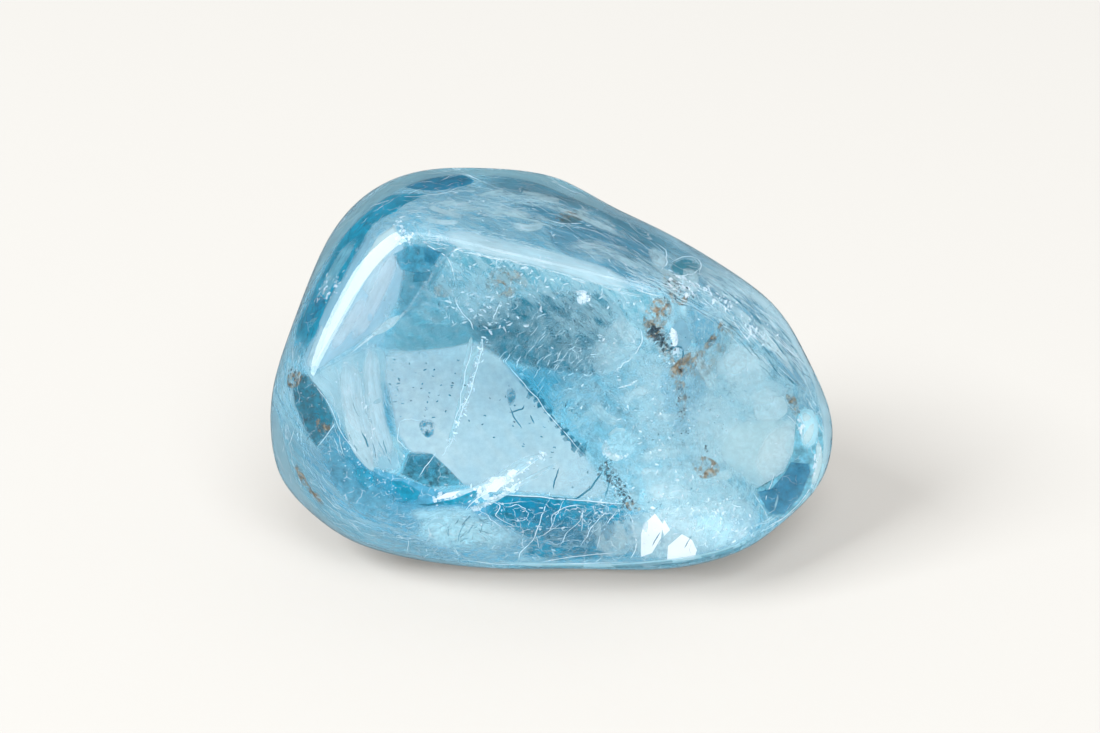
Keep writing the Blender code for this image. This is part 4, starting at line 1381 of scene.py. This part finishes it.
def light_card(name, place, target, corners, radiance):
    """A glowing card that is only mirrored, as a highlight with the card's own outline."""
    mesh = bpy.data.meshes.new(name)
    mesh.from_pydata([(x, y, 0) for x, y in corners], [], [tuple(range(len(corners)))])
    material, nodes, links = new_material(name)
    glow = add_node(nodes, "ShaderNodeEmission", {}, {"Strength": radiance})
    links.new(glow.outputs[0], nodes["Material Output"].inputs["Surface"])
    material.cycles.emission_sampling = "NONE"
    mesh.materials.append(material)
    card = bpy.data.objects.new(name, mesh)
    bpy.context.scene.collection.objects.link(card)
    card.location = place
    card.rotation_euler = aimed(place, target)
    card.visible_camera = False
    card.visible_transmission = False
    card.visible_diffuse = False
    card.visible_shadow = False


def mirrored_rays(nodes, links):
    """1 for a ray that has just been mirrored by a surface, else 0."""
    path = add_node(nodes, "ShaderNodeLightPath").outputs
    through = math_node(nodes, links, "SUBTRACT", 1.0, path["Is Transmission Ray"])
    return math_node(nodes, links, "MULTIPLY", path["Is Glossy Ray"], through)


def scattered_rays(nodes, links):
    """1 for a ray that a matt surface has scattered, else 0."""
    path = add_node(nodes, "ShaderNodeLightPath").outputs
    return math_node(nodes, links, "GREATER_THAN", path["Diffuse Depth"], 0.5)


def direct_rays(nodes, links):
    """1 for what is seen straight, with no glass in between, else 0."""
    path = add_node(nodes, "ShaderNodeLightPath").outputs
    return math_node(nodes, links, "LESS_THAN", path["Ray Depth"], 0.5)


def build_world():
    """Bright walls and a dark ceiling, seen through the stone, and a dim room mirrored in its surface.

    Matt surfaces are lit evenly from all around.
    """
    world = bpy.data.worlds.new("studio")
    bpy.context.scene.world = world
    world.use_nodes = True
    world.cycles.sampling_method = "NONE"
    nodes, links = world.node_tree.nodes, world.node_tree.links
    height = add_node(nodes, "ShaderNodeSeparateXYZ")
    links.new(add_node(nodes, "ShaderNodeTexCoord").outputs["Generated"], height.inputs[0])
    ramp = add_node(nodes, "ShaderNodeValToRGB")
    links.new(height.outputs["Z"], ramp.inputs[0])
    low, high = ramp.color_ramp.elements
    low.position, low.color = WALLS_UP_TO, WALLS
    high.position, high.color = CEILING_FROM, CEILING
    colour = ramp.outputs[0]
    for rays, other in ((mirrored_rays, MIRRORED_ROOM), (scattered_rays, ALL_AROUND)):
        colour = colour_mix(nodes, links, rays(nodes, links), colour, other)
    links.new(colour, nodes["Background"].inputs["Color"])


def build_studio():
    bpy.ops.mesh.primitive_circle_add(vertices=FLOOR_SIDES, radius=FLOOR_RADIUS, fill_type="NGON")
    floor = bpy.context.object
    floor.name = "floor"
    floor.location.z = -FLOOR_DROP * MM
    floor.data.materials.append(floor_material())
    build_world()
    light_card("strip_card", STRIP_CARD_PLACE, MIDDLE, STRIP_CARD_CORNERS, STRIP_CARD_RADIANCE)
    for row in SOFTBOXES:
        softbox(*row)


def build_camera():
    lens = bpy.data.cameras.new("camera")
    lens.lens, lens.sensor_width = LENS, SENSOR
    lens.clip_start = 0.01
    camera = bpy.data.objects.new("camera", lens)
    bpy.context.scene.collection.objects.link(camera)
    camera.location = Vector(EYE) * MM
    camera.rotation_euler = (pi / 2 - CAMERA_TILT, 0, 0)
    bpy.context.scene.camera = camera


def set_light_paths():
    scene = bpy.context.scene
    scene.view_settings.view_transform = "Standard"
    scene.cycles.max_bounces = 16
    scene.cycles.transmission_bounces = 16
    scene.cycles.glossy_bounces = 16
    scene.cycles.diffuse_bounces = 3
    scene.cycles.transparent_max_bounces = 96
    scene.cycles.blur_glossy = 0.0


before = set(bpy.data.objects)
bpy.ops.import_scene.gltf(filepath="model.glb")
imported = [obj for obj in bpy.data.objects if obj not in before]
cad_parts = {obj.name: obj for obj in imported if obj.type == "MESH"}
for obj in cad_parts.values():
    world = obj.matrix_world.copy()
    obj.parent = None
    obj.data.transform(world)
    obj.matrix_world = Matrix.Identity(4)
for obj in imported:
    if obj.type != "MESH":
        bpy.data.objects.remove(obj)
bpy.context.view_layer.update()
set_light_paths()
build_camera()
build_studio()
build_stone()
build_painted_blue_shade_zones()
build_dark_details()
build_milky_cloud()
build_fine_flecks()
build_veils_and_painted_highlights()
build_crack_lines()
build_shards_and_painted_glints()
build_rust()
build_dark_specks()
build_open_fractures()
